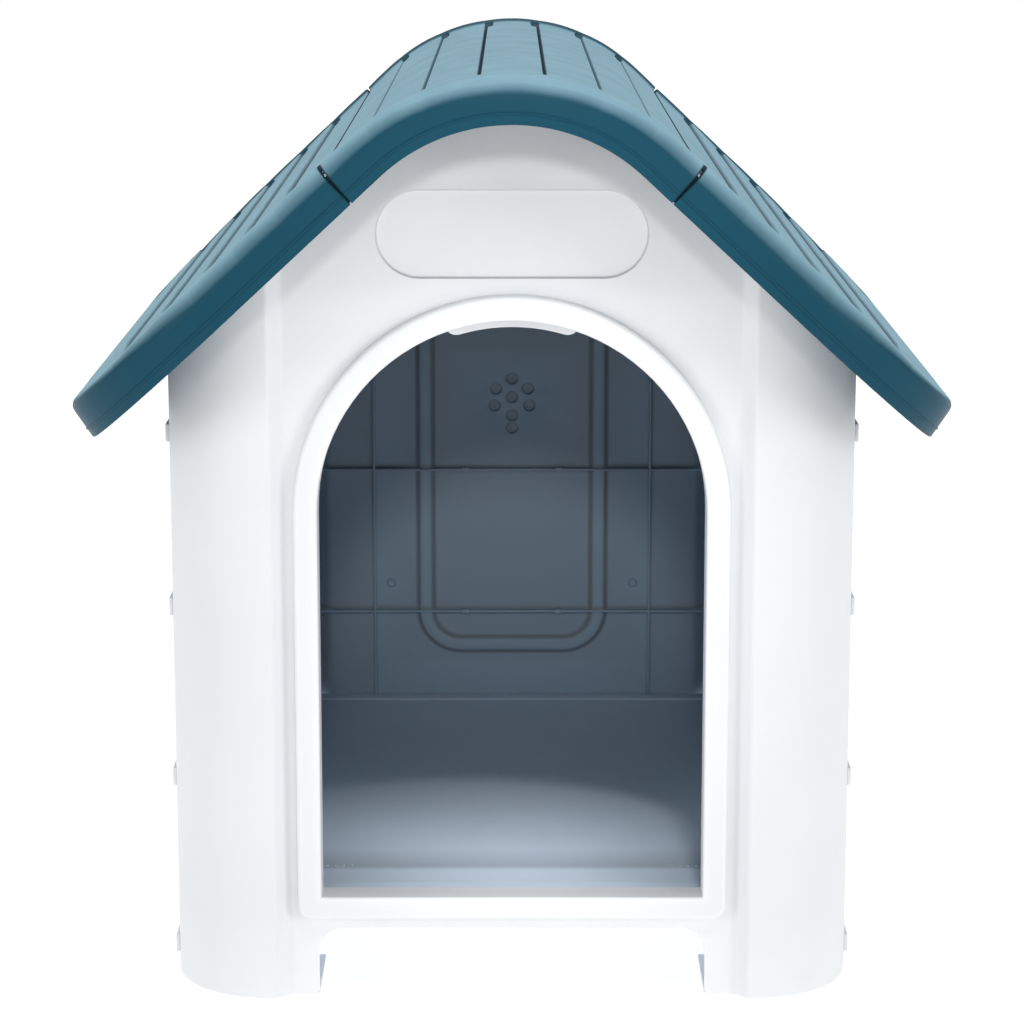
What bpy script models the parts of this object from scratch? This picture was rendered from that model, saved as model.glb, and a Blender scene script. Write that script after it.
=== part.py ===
"""Snap-together outdoor animal hutch of moulded polypropylene.

Four wall panels clip together round a floor tray, and a planked roof of three shells stands on their
top edges and lifts off. The frame: +Z up, the doorway faces -Y, the ground is Z = 0 and the origin is
the centre of the footprint. Sizes are metres.
"""
import math

import bmesh
import bpy

# ---- overall sizes
ROOF_WIDTH = 0.617          # eave to eave, along X, before the edges are rolled over
ROOF_LENGTH = 0.750         # along the ridge, along Y
RIDGE_HEIGHT = 0.650        # ground to the plank surface at the ridge
BODY_WIDTH = 0.482          # over the two side walls
BODY_LENGTH = 0.580         # over the front and rear corner columns

# ---- roof shells
RIDGE_RADIUS = 0.1527       # of the plank surface over the ridge
ROOF_PITCH = math.radians(43.0)
EAVE_CORNER_RADIUS = 0.100  # of the eave corners, seen from above
GABLE_BOW = 0.020           # how much further the ridge reaches than the eave does
ROOF_SKIN = 0.004
FASCIA_DEPTH = 0.028        # square to the plank surface
FASCIA_WALL = 0.005
ROLL_RADIUS = 0.010         # from the top of the roof into the fascia
LIP_RISE = 0.0036           # the gable ends stand this much above the planks
LIP_REACH = 0.090           # how far in from the gable end the rise starts
SEAM_X = 0.123              # joints between the ridge cap and the slopes
TONGUE_REACH = 0.014        # of each slope, under the ridge cap
TONGUE_ROOT = 0.008
TONGUE_WALL = 0.003
RIB_WALL = 0.003
RIB_DROP = 0.012            # locating ribs, below the roof skin
RIB_END_GAP = 0.004         # from the end of a rib to the tongue beside it

# ---- wall panels
WALL = 0.0035
COLUMN_RADIUS = 0.075       # outside of the corner columns
COLUMN_FACE_X = 0.166       # where the flat front of a column starts
STEP_X = 0.0085             # width of the sloped step beside a column
PANEL_RECESS = 0.009        # middle of the panel behind the columns
FOOT_INNER_X = 0.136
UNDERCUT_TOP = 0.0495
UNDERCUT_RADIUS = 0.0175
SIDE_UNDERCUT_Y = 0.130
FOOT_PLATE = 0.004
CLIP_CENTRES = (0.019, 0.1435, 0.269, 0.3945)   # heights of the corner clips
CLIP_HEIGHT = 0.013
CLIP_WALL = 0.002
CLIP_REACH = 0.018          # over the edge of the column
CLIP_ROOT = 0.008
CLIP_LIP = 0.007            # inner lip behind the column's edge

# ---- doorway and its surround
DOOR_HALF = 0.1335
SILL_TOP = 0.0754
DOOR_CROWN = 0.4832
SURROUND_FACE = 0.0168      # width of the raised face
SURROUND_PROUD = 0.0105     # in front of the recessed panel
SURROUND_DEPTH = 0.024      # face to the back of the neck
SURROUND_NECK = 0.0035
SURROUND_CORNER = 0.0085
CROWN_TAB_DROP = 0.007
CROWN_TAB_ANGLE = math.radians(20.0)
CROWN_TAB_WALL = 0.003

# ---- name panel over the door
NAME_HALF = 0.0928
NAME_RADIUS = 0.0304
NAME_CENTRE_Z = 0.541
NAME_DEPTH = 0.0015

# ---- floor tray
FLOOR_TOP = 0.073
FLOOR_SKIN = 0.003
FLOOR_RIM_DROP = 0.012
FLOOR_RIM_WALL = 0.003
FLOOR_HALF_X = 0.232
FLOOR_CORNER = 0.050
LEDGE_REACH = 0.020
LEDGE_WALL = 0.003
LEDGE_WEB_DROP = 0.012
LEDGE_WEB_X = 0.109         # of the outer webs under an end ledge
DRAIN_RADIUS = 0.0015
DRAIN_PITCH = 0.006
DRAIN_COUNT = 5
DRAIN_INSET_X = 0.018       # first hole, in from the side of the doorway
DRAIN_INSET_Y = 0.061       # holes, in from the front edge

# ---- inside of the rear wall
BEAD_HALF = 0.0743          # to the middle of each leg of the U-shaped bead
BEAD_WIDTH = 0.0173
BEAD_RISE = 0.004
BEAD_BOTTOM = 0.118
BEAD_TOP = 0.455
BEAD_CORNER = 0.030
STIFFENER_X = 0.1188
STIFFENER_HEIGHTS = (0.1478, 0.273)
STIFFENER_WALL = 0.002
STIFFENER_RISE = 0.006
DIMPLE_RADIUS = 0.0052
DIMPLE_DEPTH = 0.0020
DIMPLE_SPOTS = ((0.0, 0.3517), (-0.0138, 0.3431), (0.0138, 0.3431), (0.0, 0.3357),
                (-0.0150, 0.3284), (0.0150, 0.3284), (0.0, 0.3197), (0.0, 0.3088))

# ---- side walls
SIDE_STIFFENER_Y = 0.105
LEVEL_RIB_END = 0.020       # from the end of a level rib to the edge of its side panel
SLOT_LENGTH = 0.060
SLOT_HEIGHT = 0.007
SLOT_PITCH = 0.016
SLOT_COUNT = 3
SLOT_TOP_GAP = 0.060        # from the top of the wall to the first slot

# ---- fits
GAP = 0.0003                # between pieces that touch
ROOF_SEAT = 0.0006          # between the roof skin and the walls under it
SLIDE_FIT = 0.0008          # where one piece slips past another
OVERLAP = 0.001             # how deep shapes of one piece run into each other
CUT_MARGIN = 0.010          # how far a cutter runs past what it cuts

# ---- fineness of the meshes
ARC_STEP = math.radians(7.5)
RIB_STEPS = 10
CAP_STEPS = 14
BEND_STEPS = 8
GABLE_STEPS = 48
MERGE = 0.000002            # points closer than this are one
FLAT = math.radians(0.05)   # faces this close to level with each other are one

# ---- values worked out from the sizes above
EAVE_X = ROOF_WIDTH / 2
HALF_LENGTH = ROOF_LENGTH / 2
SIDE_FACE = BODY_WIDTH / 2
COLUMN_FACE_Y = -BODY_LENGTH / 2
PANEL_FACE_Y = COLUMN_FACE_Y + PANEL_RECESS
PANEL_BACK_Y = PANEL_FACE_Y + WALL
COLUMN_EDGE_Y = COLUMN_FACE_Y + COLUMN_RADIUS + CLIP_ROOT
SURROUND_FRONT_Y = PANEL_FACE_Y - SURROUND_PROUD
SURROUND_BACK_Y = SURROUND_FRONT_Y + SURROUND_DEPTH
DOOR_ARCH_Z = DOOR_CROWN - DOOR_HALF
FLOOR_FRONT_Y = SURROUND_BACK_Y + SLIDE_FIT
FLOOR_REAR_Y = -PANEL_BACK_Y - SLIDE_FIT
LEDGE_TOP = FLOOR_TOP - FLOOR_SKIN - GAP
LEDGE_END_X = FLOOR_HALF_X - LEDGE_REACH
LEDGE_END_Y = FLOOR_FRONT_Y + LEDGE_REACH

WHITE = (0.80, 0.81, 0.83)
TEAL = (0.055, 0.20, 0.28)


# ---------------------------------------------------------------- outlines
def arc(cx, cy, radius, start, end, step=ARC_STEP):
    """Points on an arc, both ends included."""
    count = max(2, math.ceil(abs(end - start) / step - 1e-6))
    angles = [start + (end - start) * i / count for i in range(count + 1)]
    return [(cx + radius * math.cos(a), cy + radius * math.sin(a)) for a in angles]


def rounded_box(x0, y0, x1, y1, radii):
    """A rectangle whose four corners have their own radii, counter-clockwise from the lower left."""
    corners = [(x0, y0, 1, 1), (x1, y0, -1, 1), (x1, y1, -1, -1), (x0, y1, 1, -1)]
    points = []
    for number, ((x, y, sx, sy), radius) in enumerate(zip(corners, radii)):
        if radius <= 0:
            points.append((x, y))
            continue
        start = math.pi + number * math.pi / 2
        points += arc(x + sx * radius, y + sy * radius, radius, start, start + math.pi / 2)
    return points


def arched(half, bottom, arch_z, corner=0.0):
    """A doorway outline: straight sides, a half-round head and, with a corner radius, soft lower corners."""
    if corner > 0:
        lower = arc(half - corner, bottom + corner, corner, -math.pi / 2, 0.0)
        lower = [(-x, z) for x, z in reversed(lower)] + lower
    else:
        lower = [(-half, bottom), (half, bottom)]
    return lower + arc(0.0, arch_z, half, 0.0, math.pi)


# ---------------------------------------------------------------- solids
def new_object(name, bm, material=None):
    mesh = bpy.data.meshes.new(name)
    bmesh.ops.recalc_face_normals(bm, faces=bm.faces[:])
    bm.to_mesh(mesh)
    bm.free()
    obj = bpy.data.objects.new(name, mesh)
    bpy.context.scene.collection.objects.link(obj)
    if material:
        mesh.materials.append(material)
    return obj


def prism(name, outline, low, high, across="Z"):
    """A solid with a flat outline, run from low to high across the named axis."""
    place = {
        "Z": lambda a, b, c: (a, b, c),
        "Y": lambda a, b, c: (a, c, b),
        "X": lambda a, b, c: (c, a, b),
    }[across]
    bm = bmesh.new()
    bottom = [bm.verts.new(place(a, b, low)) for a, b in outline]
    bm.faces.new(bottom)
    made = bmesh.ops.extrude_face_region(bm, geom=bm.faces[:])
    moved = [v for v in made["geom"] if isinstance(v, bmesh.types.BMVert)]
    shift = place(0.0, 0.0, high - low)
    bmesh.ops.translate(bm, verts=moved, vec=shift)
    return new_object(name, bm)


def block(name, low, high):
    outline = [(low[0], low[1]), (high[0], low[1]), (high[0], high[1]), (low[0], high[1])]
    return prism(name, outline, low[2], high[2])


def apply_boolean(target, tools, operation):
    """Joins the tools to the target, or cuts them from it, and takes the tools away."""
    for tool in tools:
        modifier = target.modifiers.new(operation, "BOOLEAN")
        modifier.operation = operation
        modifier.object = tool
        depsgraph = bpy.context.evaluated_depsgraph_get()
        result = bpy.data.meshes.new_from_object(target.evaluated_get(depsgraph))
        target.modifiers.clear()
        old = target.data
        target.data = result
        bpy.data.meshes.remove(old)
        bpy.data.objects.remove(tool)
    return target


def clean(obj):
    """Merges the tiny edges that a Boolean leaves, clears spare edges and splits the faces into triangles."""
    bm = bmesh.new()
    bm.from_mesh(obj.data)
    bmesh.ops.remove_doubles(bm, verts=bm.verts[:], dist=MERGE)
    bmesh.ops.dissolve_limit(bm, angle_limit=FLAT, verts=bm.verts[:], edges=bm.edges[:])
    bmesh.ops.dissolve_degenerate(bm, edges=bm.edges[:], dist=MERGE)
    bmesh.ops.triangulate(bm, faces=bm.faces[:])
    bm.to_mesh(obj.data)
    bm.free()


def join(target, tools):
    return apply_boolean(target, tools, "UNION")


def cut(target, tools):
    return apply_boolean(target, tools, "DIFFERENCE")


def keep_inside(target, tool):
    return apply_boolean(target, [tool], "INTERSECT")


def turned_about_z(obj):
    """Turns an object half a turn about Z, in its mesh."""
    for vertex in obj.data.vertices:
        vertex.co.x = -vertex.co.x
        vertex.co.y = -vertex.co.y
    return obj


def named(obj, name):
    obj.name = name
    obj.data.name = name
    return obj


# ---------------------------------------------------------------- roof surface
def roof_height(x):
    """Height of the plank surface over a place x on the way from the ridge to an eave."""
    x = abs(x)
    tangent_x = RIDGE_RADIUS * math.sin(ROOF_PITCH)
    if x <= tangent_x:
        return RIDGE_HEIGHT - RIDGE_RADIUS + math.sqrt(RIDGE_RADIUS ** 2 - x ** 2)
    tangent_z = RIDGE_HEIGHT - RIDGE_RADIUS * (1 - math.cos(ROOF_PITCH))
    return tangent_z - (x - tangent_x) * math.tan(ROOF_PITCH)


def roof_point(x, offset):
    """The plank surface at x, moved out along its own normal."""
    slope = math.sin(ROOF_PITCH)
    lean = math.asin(max(-slope, min(x / RIDGE_RADIUS, slope)))
    return x + offset * math.sin(lean), roof_height(x) + offset * math.cos(lean)


def under_roof(x, drop):
    """Height of the line that runs drop below the plank surface, square to it, straight over x."""
    tangent_x = (RIDGE_RADIUS - drop) * math.sin(ROOF_PITCH)
    if abs(x) <= tangent_x:
        return RIDGE_HEIGHT - RIDGE_RADIUS + math.sqrt((RIDGE_RADIUS - drop) ** 2 - x ** 2)
    return roof_height(x) - drop / math.cos(ROOF_PITCH)


def gable_end(x, inset):
    """Y of the roof's outline, moved in by inset, at x. The outline bows out towards the ridge."""
    corner_x = EAVE_X - EAVE_CORNER_RADIUS
    radius = EAVE_CORNER_RADIUS - inset
    past = min(max(abs(x) - corner_x, 0.0), radius)
    corner = radius - math.sqrt(max(radius ** 2 - past ** 2, 0.0))
    return HALF_LENGTH - inset - GABLE_BOW * (x / EAVE_X) ** 2 - corner


def roll(distance):
    """How far the top has rolled down at a distance in from the roof's outline."""
    if distance >= ROLL_RADIUS:
        return 0.0
    return math.sqrt(ROLL_RADIUS ** 2 - (ROLL_RADIUS - distance) ** 2) - ROLL_RADIUS


def eased(share):
    """A smooth step from 0 to 1."""
    share = min(max(share, 0.0), 1.0)
    return share * share * (3 - 2 * share)


def lip(x, y):
    """How far the top has risen towards the gable end. The rise fades out towards the eave."""
    inset = gable_end(x, 0.0) - abs(y)
    along = eased((LIP_REACH - inset) / (LIP_REACH - 2 * ROLL_RADIUS))
    return LIP_RISE * along * eased((EAVE_X - abs(x)) / EAVE_CORNER_RADIUS)


def roof_shell(name, stations, outer_edges):
    """A roof shell: a skin along the stations (x values) with a fascia round its outside edges.

    Every station and every row holds one top point and one point under it, so the shell is closed.
    A row or a station that is there twice makes the upright inner face of the fascia.
    """
    fascia = [(share * FASCIA_WALL, True) for share in (0.0, 0.6, 1.0)]
    skin = [(inset, False) for inset in (FASCIA_WALL, ROLL_RADIUS, 2 * ROLL_RADIUS, LIP_REACH / 2, LIP_REACH)]
    rows = [(-1, inset, deep) for inset, deep in fascia + skin]
    rows += [(1, inset, deep) for inset, deep in reversed(fascia + skin)]
    bm = bmesh.new()
    top, under = [], []
    for x, station_deep in stations:
        to_eave = EAVE_X - abs(x) if outer_edges else ROLL_RADIUS
        top_row, under_row = [], []
        for side, inset, row_deep in rows:
            y = side * gable_end(x, inset)
            rise = roll(min(inset, to_eave)) + lip(x, y)
            depth = FASCIA_DEPTH if row_deep or station_deep else ROOF_SKIN - lip(x, y)
            top_x, top_z = roof_point(x, rise)
            under_x, under_z = roof_point(x, -depth)
            top_row.append(bm.verts.new((top_x, y, top_z)))
            under_row.append(bm.verts.new((under_x, y, under_z)))
        top.append(top_row)
        under.append(under_row)
    close_grid(bm, top, under)
    return new_object(name, bm)


def close_grid(bm, top, under):
    """Faces over and under two grids of points, and round their four sides."""
    last_i, last_j = len(top) - 1, len(top[0]) - 1
    for i in range(last_i):
        for j in range(last_j):
            bm.faces.new((top[i][j], top[i + 1][j], top[i + 1][j + 1], top[i][j + 1]))
            bm.faces.new((under[i][j], under[i][j + 1], under[i + 1][j + 1], under[i + 1][j]))
    for i in range(last_i):
        for j in (0, last_j):
            bm.faces.new((top[i][j], top[i + 1][j], under[i + 1][j], under[i][j]))
    for j in range(last_j):
        for i in (0, last_i):
            bm.faces.new((top[i][j], top[i][j + 1], under[i][j + 1], under[i][j]))
    bmesh.ops.remove_doubles(bm, verts=bm.verts[:], dist=1e-6)
    bmesh.ops.dissolve_degenerate(bm, edges=bm.edges[:], dist=1e-6)
    bmesh.ops.triangulate(bm, faces=bm.faces[:])


def roof_rib(name, x_from, x_to, low_y, high_y):
    """A rib that hangs from the roof skin and stays inside the wall beside it."""
    places = [x_from + (x_to - x_from) * i / RIB_STEPS for i in range(RIB_STEPS + 1)]
    upper = [(x, under_roof(x, ROOF_SKIN - OVERLAP)) for x in places]
    lower = [(x, under_roof(x, ROOF_SKIN + RIB_DROP)) for x in reversed(places)]
    return prism(name, upper + lower, low_y, high_y, "Y")


def rib_places():
    """The Y stretches of the two cross ribs, just inside the front and rear walls."""
    inner = -PANEL_BACK_Y - SLIDE_FIT
    return ((-inner, -inner + RIB_WALL), (inner - RIB_WALL, inner))


def ridge_cap():
    edge = SEAM_X - GAP
    stations = [(-edge + 2 * edge * i / CAP_STEPS, False) for i in range(CAP_STEPS + 1)]
    shell = roof_shell("roof_ridge_cap", stations, False)
    reach = SEAM_X - TONGUE_REACH - RIB_END_GAP
    return join(shell, [roof_rib("rib", -reach, reach, *place) for place in rib_places()])


def slope_stations():
    corner_x = EAVE_X - EAVE_CORNER_RADIUS
    inner_radius = EAVE_CORNER_RADIUS - FASCIA_WALL
    straight = [SEAM_X + GAP, (SEAM_X + corner_x) / 2]
    bend = [corner_x + inner_radius * math.sin(math.pi / 2 * i / BEND_STEPS) for i in range(BEND_STEPS + 1)]
    rim = [EAVE_X - share * FASCIA_WALL for share in (1.0, 0.6, 0.2, 0.0)]
    return [(x, False) for x in straight + bend] + [(x, True) for x in rim]


def tongue(name):
    """The strip along a slope's upper edge that slips under the ridge cap."""
    root = SEAM_X + TONGUE_ROOT
    tip = SEAM_X - TONGUE_REACH
    over = ROOF_SKIN + GAP
    outline = [
        (root, under_roof(root, ROOF_SKIN - OVERLAP)),
        (SEAM_X + GAP, under_roof(SEAM_X + GAP, ROOF_SKIN - OVERLAP)),
        (SEAM_X + GAP, under_roof(SEAM_X + GAP, over)),
        (tip, under_roof(tip, over)),
        (tip, under_roof(tip, over + TONGUE_WALL)),
        (root, under_roof(root, over + TONGUE_WALL)),
    ]
    reach = -PANEL_BACK_Y - SLIDE_FIT - RIB_WALL - RIB_END_GAP
    return prism(name, outline, -reach, reach, "Y")


def roof_slope(side):
    """One slope of the roof, made at +X and turned half a turn about Z for the other side."""
    shell = roof_shell("slope", slope_stations(), True)
    inner = SEAM_X + TONGUE_ROOT + RIB_END_GAP
    ribs = [roof_rib("rib", inner, COLUMN_FACE_X, *place) for place in rib_places()]
    shell = join(shell, [tongue("tongue")] + ribs)
    if side < 0:
        turned_about_z(shell)
    return named(shell, "roof_slope_left" if side < 0 else "roof_slope_right")


# ---------------------------------------------------------------- walls
def wall_path(offset):
    """Half of an end panel's line seen from above, at +X and -Y, moved in by offset."""
    column = arc(COLUMN_FACE_X, COLUMN_FACE_Y + COLUMN_RADIUS, COLUMN_RADIUS - offset, 0.0, -math.pi / 2)
    side_x = SIDE_FACE - offset
    shift = side_x - column[0][0]
    column = [(x + shift * (x - COLUMN_FACE_X) / (COLUMN_RADIUS - offset), y) for x, y in column]
    inner_x = COLUMN_FACE_X - STEP_X
    return [(side_x, COLUMN_EDGE_Y)] + column + [(inner_x - 0.4 * offset, PANEL_FACE_Y + offset)]


def end_wall_outline():
    outer = wall_path(0.0)
    inner = wall_path(WALL)
    outer_loop = outer + [(-x, y) for x, y in reversed(outer)]
    inner_loop = inner + [(-x, y) for x, y in reversed(inner)]
    return outer_loop + inner_loop[::-1]


def gable_cutter(name):
    """A block that holds everything under the roof skin."""
    places = [-EAVE_X + 2 * EAVE_X * i / GABLE_STEPS for i in range(GABLE_STEPS + 1)]
    line = [(x, under_roof(x, ROOF_SKIN + ROOF_SEAT)) for x in places]
    outline = [(-EAVE_X, -CUT_MARGIN)] + [(EAVE_X, -CUT_MARGIN)] + line[::-1]
    return prism(name, outline, -HALF_LENGTH, HALF_LENGTH, "Y")


def undercut(name, half, across, low, high):
    outline = rounded_box(-half, -CUT_MARGIN, half, UNDERCUT_TOP, (0, 0, UNDERCUT_RADIUS, UNDERCUT_RADIUS))
    return prism(name, outline, low, high, across)


def foot_plate(name, side):
    """Closes the bottom of a corner column, so that the hutch stands on flat feet."""
    inner_corners = [(FOOT_INNER_X, PANEL_BACK_Y - OVERLAP), (FOOT_INNER_X, COLUMN_EDGE_Y)]
    outline = wall_path(WALL - OVERLAP) + inner_corners
    outline = [(side * x, y) for x, y in outline]
    return prism(name, outline, 0.0, FOOT_PLATE)


def end_ledge(name):
    """The shelf inside an end panel that the floor tray rests on, with its webs."""
    half = FOOT_INNER_X
    low_y = PANEL_BACK_Y - OVERLAP
    shelf = block(name, (-half, low_y, LEDGE_TOP - LEDGE_WALL), (half, LEDGE_END_Y, LEDGE_TOP))
    webs = []
    for x in (-LEDGE_WEB_X, 0.0, LEDGE_WEB_X):
        low = (x - LEDGE_WALL / 2, low_y, LEDGE_TOP - LEDGE_WALL - LEDGE_WEB_DROP)
        webs.append(block("web", low, (x + LEDGE_WALL / 2, LEDGE_END_Y - OVERLAP, LEDGE_TOP - OVERLAP)))
    return [shelf] + webs


def end_wall(name):
    """The shell that the front and rear panels share, facing -Y."""
    wall = prism(name, end_wall_outline(), 0.0, RIDGE_HEIGHT)
    keep_inside(wall, gable_cutter("gable"))
    cut(wall, [undercut("undercut", FOOT_INNER_X, "Y", COLUMN_FACE_Y - CUT_MARGIN, COLUMN_EDGE_Y)])
    return join(wall, [foot_plate("foot", -1), foot_plate("foot", 1)] + end_ledge("ledge"))


def front_panel():
    wall = end_wall("front_panel")
    neck = SURROUND_NECK + GAP
    door = arched(DOOR_HALF + neck, SILL_TOP - neck, DOOR_ARCH_Z)
    name_low, name_high = NAME_CENTRE_Z - NAME_RADIUS, NAME_CENTRE_Z + NAME_RADIUS
    name_outline = rounded_box(-NAME_HALF, name_low, NAME_HALF, name_high, (NAME_RADIUS,) * 4)
    through = prism("door", door, PANEL_FACE_Y - CUT_MARGIN, PANEL_BACK_Y + LEDGE_REACH + SURROUND_DEPTH, "Y")
    recess = prism("name", name_outline, PANEL_FACE_Y - CUT_MARGIN, PANEL_FACE_Y + NAME_DEPTH, "Y")
    return cut(wall, [through, recess])


def bead_outline(grow, top):
    """The outline of a U with its middle line at the bead's, grown by a distance and closed at the top."""
    half, corner = BEAD_HALF + grow, BEAD_CORNER + grow
    return rounded_box(-half, BEAD_BOTTOM - grow, half, top, (corner, corner, 0, 0))


def u_bead(name):
    """A raised U on the inner face of the rear panel."""
    half = BEAD_WIDTH / 2
    low, high = PANEL_BACK_Y - OVERLAP, PANEL_BACK_Y + BEAD_RISE
    outer = prism(name, bead_outline(half, BEAD_TOP), low, high, "Y")
    inner_outline = bead_outline(-half, BEAD_TOP + CUT_MARGIN)
    return cut(outer, [prism("inner", inner_outline, low - CUT_MARGIN, high + CUT_MARGIN, "Y")])


def rear_stiffeners():
    """Upright and level ribs on the inner face of the rear panel; the level ones run across the bead."""
    low_y, high_y = PANEL_BACK_Y - OVERLAP, PANEL_BACK_Y + STIFFENER_RISE
    half = STIFFENER_WALL / 2
    end_x = COLUMN_FACE_X - STEP_X - WALL
    low_z = LEDGE_TOP + FLOOR_SKIN + SLIDE_FIT
    top = under_roof(STIFFENER_X + half, ROOF_SKIN + RIB_DROP + SLIDE_FIT)
    ribs = []
    for x in (-STIFFENER_X, STIFFENER_X):
        ribs.append(block("upright", (x - half, low_y, low_z), (x + half, high_y, top)))
    for height in STIFFENER_HEIGHTS:
        ribs.append(block("level", (-end_x, low_y, height - half), (end_x, high_y, height + half)))
    return ribs


def rear_panel():
    wall = end_wall("rear_panel")
    join(wall, rear_stiffeners() + [u_bead("bead")])
    dimples = []
    for x, z in DIMPLE_SPOTS:
        outline = arc(x, z, DIMPLE_RADIUS, 0.0, 2 * math.pi, math.radians(30))[:-1]
        dimples.append(prism("dimple", outline, PANEL_BACK_Y - DIMPLE_DEPTH, PANEL_BACK_Y + CUT_MARGIN, "Y"))
    return turned_about_z(cut(wall, dimples))


def corner_clip(height, end):
    """A clip that holds the column's edge between an outer tab and an inner lip, at one height."""
    edge = end * (-COLUMN_EDGE_Y)
    half = CLIP_HEIGHT / 2
    root = edge - end * CLIP_ROOT
    near = edge - end * GAP
    tab_end = edge + end * CLIP_REACH
    lip_end = edge + end * CLIP_LIP
    outer_x = SIDE_FACE + GAP
    inner_x = SIDE_FACE - WALL - GAP
    outer_root_x = SIDE_FACE - OVERLAP
    inner_root_x = SIDE_FACE - WALL + OVERLAP
    tab = [(outer_root_x, near), (outer_x, near), (outer_x, tab_end),
           (outer_x + CLIP_WALL, tab_end), (outer_x + CLIP_WALL, root), (outer_root_x, root)]
    lip_outline = [(inner_root_x, near), (inner_x, near), (inner_x, lip_end),
                   (inner_x - CLIP_WALL, lip_end), (inner_x - CLIP_WALL, root), (inner_root_x, root)]
    return [prism("tab", tab, height - half, height + half),
            prism("lip", lip_outline, height - half, height + half)]


def side_panel(side):
    """One side wall, made at +X and turned half a turn about Z for the other side."""
    half_y = -COLUMN_EDGE_Y - GAP
    top = under_roof(SIDE_FACE, ROOF_SKIN + ROOF_SEAT)
    inner_x = SIDE_FACE - WALL
    wall = block("side", (inner_x, -half_y, 0.0), (SIDE_FACE, half_y, top))
    cut(wall, [undercut("undercut", SIDE_UNDERCUT_Y, "X", inner_x - CUT_MARGIN, SIDE_FACE + CUT_MARGIN)])
    parts = [block("shelf", (LEDGE_END_X, -SIDE_UNDERCUT_Y, LEDGE_TOP - LEDGE_WALL),
                   (inner_x + OVERLAP, SIDE_UNDERCUT_Y, LEDGE_TOP))]
    half = STIFFENER_WALL / 2
    rib_x = inner_x - STIFFENER_RISE
    for y in (-SIDE_STIFFENER_Y, SIDE_STIFFENER_Y):
        parts.append(block("upright", (rib_x, y - half, FLOOR_TOP + SLIDE_FIT),
                           (inner_x + OVERLAP, y + half, top - OVERLAP)))
    for height in STIFFENER_HEIGHTS:
        parts.append(block("level", (rib_x, LEVEL_RIB_END - half_y, height - half),
                           (inner_x + OVERLAP, half_y - LEVEL_RIB_END, height + half)))
    for height in CLIP_CENTRES:
        parts += corner_clip(height, -1) + corner_clip(height, 1)
    join(wall, parts)
    slots = []
    for number in range(SLOT_COUNT):
        z = top - SLOT_TOP_GAP - number * SLOT_PITCH
        end_radius = SLOT_HEIGHT / 2 - MERGE
        outline = rounded_box(-SLOT_LENGTH / 2, z, SLOT_LENGTH / 2, z + SLOT_HEIGHT, (end_radius,) * 4)
        slots.append(prism("slot", outline, inner_x - CUT_MARGIN, SIDE_FACE + CUT_MARGIN, "X"))
    cut(wall, slots)
    if side < 0:
        turned_about_z(wall)
    return named(wall, "side_panel_left" if side < 0 else "side_panel_right")


# ---------------------------------------------------------------- doorway and floor
def door_surround():
    """The raised frame round the doorway, with a neck through the panel and a tab under its crown."""
    outer_half = DOOR_HALF + SURROUND_FACE
    face = prism("door_surround", arched(outer_half, SILL_TOP - SURROUND_FACE, DOOR_ARCH_Z, SURROUND_CORNER),
                 SURROUND_FRONT_Y, PANEL_FACE_Y - GAP, "Y")
    neck_outline = arched(DOOR_HALF + SURROUND_NECK, SILL_TOP - SURROUND_NECK, DOOR_ARCH_Z)
    join(face, [prism("neck", neck_outline, PANEL_FACE_Y - GAP - OVERLAP, SURROUND_BACK_Y, "Y")])
    cut(face, [prism("way", arched(DOOR_HALF, SILL_TOP, DOOR_ARCH_Z), SURROUND_FRONT_Y - CUT_MARGIN,
                     SURROUND_BACK_Y + CUT_MARGIN, "Y")])
    up = math.pi / 2
    upper = arc(0.0, DOOR_ARCH_Z, DOOR_HALF + OVERLAP, up - CROWN_TAB_ANGLE, up + CROWN_TAB_ANGLE)
    lower = arc(0.0, DOOR_ARCH_Z, DOOR_HALF - CROWN_TAB_DROP, up + CROWN_TAB_ANGLE, up - CROWN_TAB_ANGLE)
    return join(face, [prism("tab", upper + lower, SURROUND_BACK_Y - CROWN_TAB_WALL, SURROUND_BACK_Y, "Y")])


def floor_tray():
    """A flat tray with a rim under its edge, and drain holes near its front corners."""
    corners = (FLOOR_CORNER,) * 4
    outline = rounded_box(-FLOOR_HALF_X, FLOOR_FRONT_Y, FLOOR_HALF_X, FLOOR_REAR_Y, corners)
    tray = prism("floor_tray", outline, FLOOR_TOP - FLOOR_SKIN, FLOOR_TOP)
    rim_x, rim_y = LEDGE_END_X - SLIDE_FIT, -LEDGE_END_Y - SLIDE_FIT
    outer = (-rim_x, -rim_y, rim_x, rim_y)
    wall = FLOOR_RIM_WALL
    inner = (outer[0] + wall, outer[1] + wall, outer[2] - wall, outer[3] - wall)
    rim_corner = FLOOR_CORNER / 2
    low = FLOOR_TOP - FLOOR_SKIN - FLOOR_RIM_DROP
    rim = prism("rim", rounded_box(*outer, (rim_corner,) * 4), low, FLOOR_TOP - FLOOR_SKIN + OVERLAP)
    cut(rim, [prism("well", rounded_box(*inner, (rim_corner - wall,) * 4), low - CUT_MARGIN, FLOOR_TOP)])
    join(tray, [rim])
    holes = []
    for side in (-1, 1):
        for number in range(DRAIN_COUNT):
            x = side * (DOOR_HALF - DRAIN_INSET_X + number * DRAIN_PITCH)
            y = FLOOR_FRONT_Y + DRAIN_INSET_Y
            outline = arc(x, y, DRAIN_RADIUS, 0.0, 2 * math.pi, math.radians(60))[:-1]
            holes.append(prism("drain", outline, low, FLOOR_TOP + CUT_MARGIN))
    return cut(tray, holes)


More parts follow.
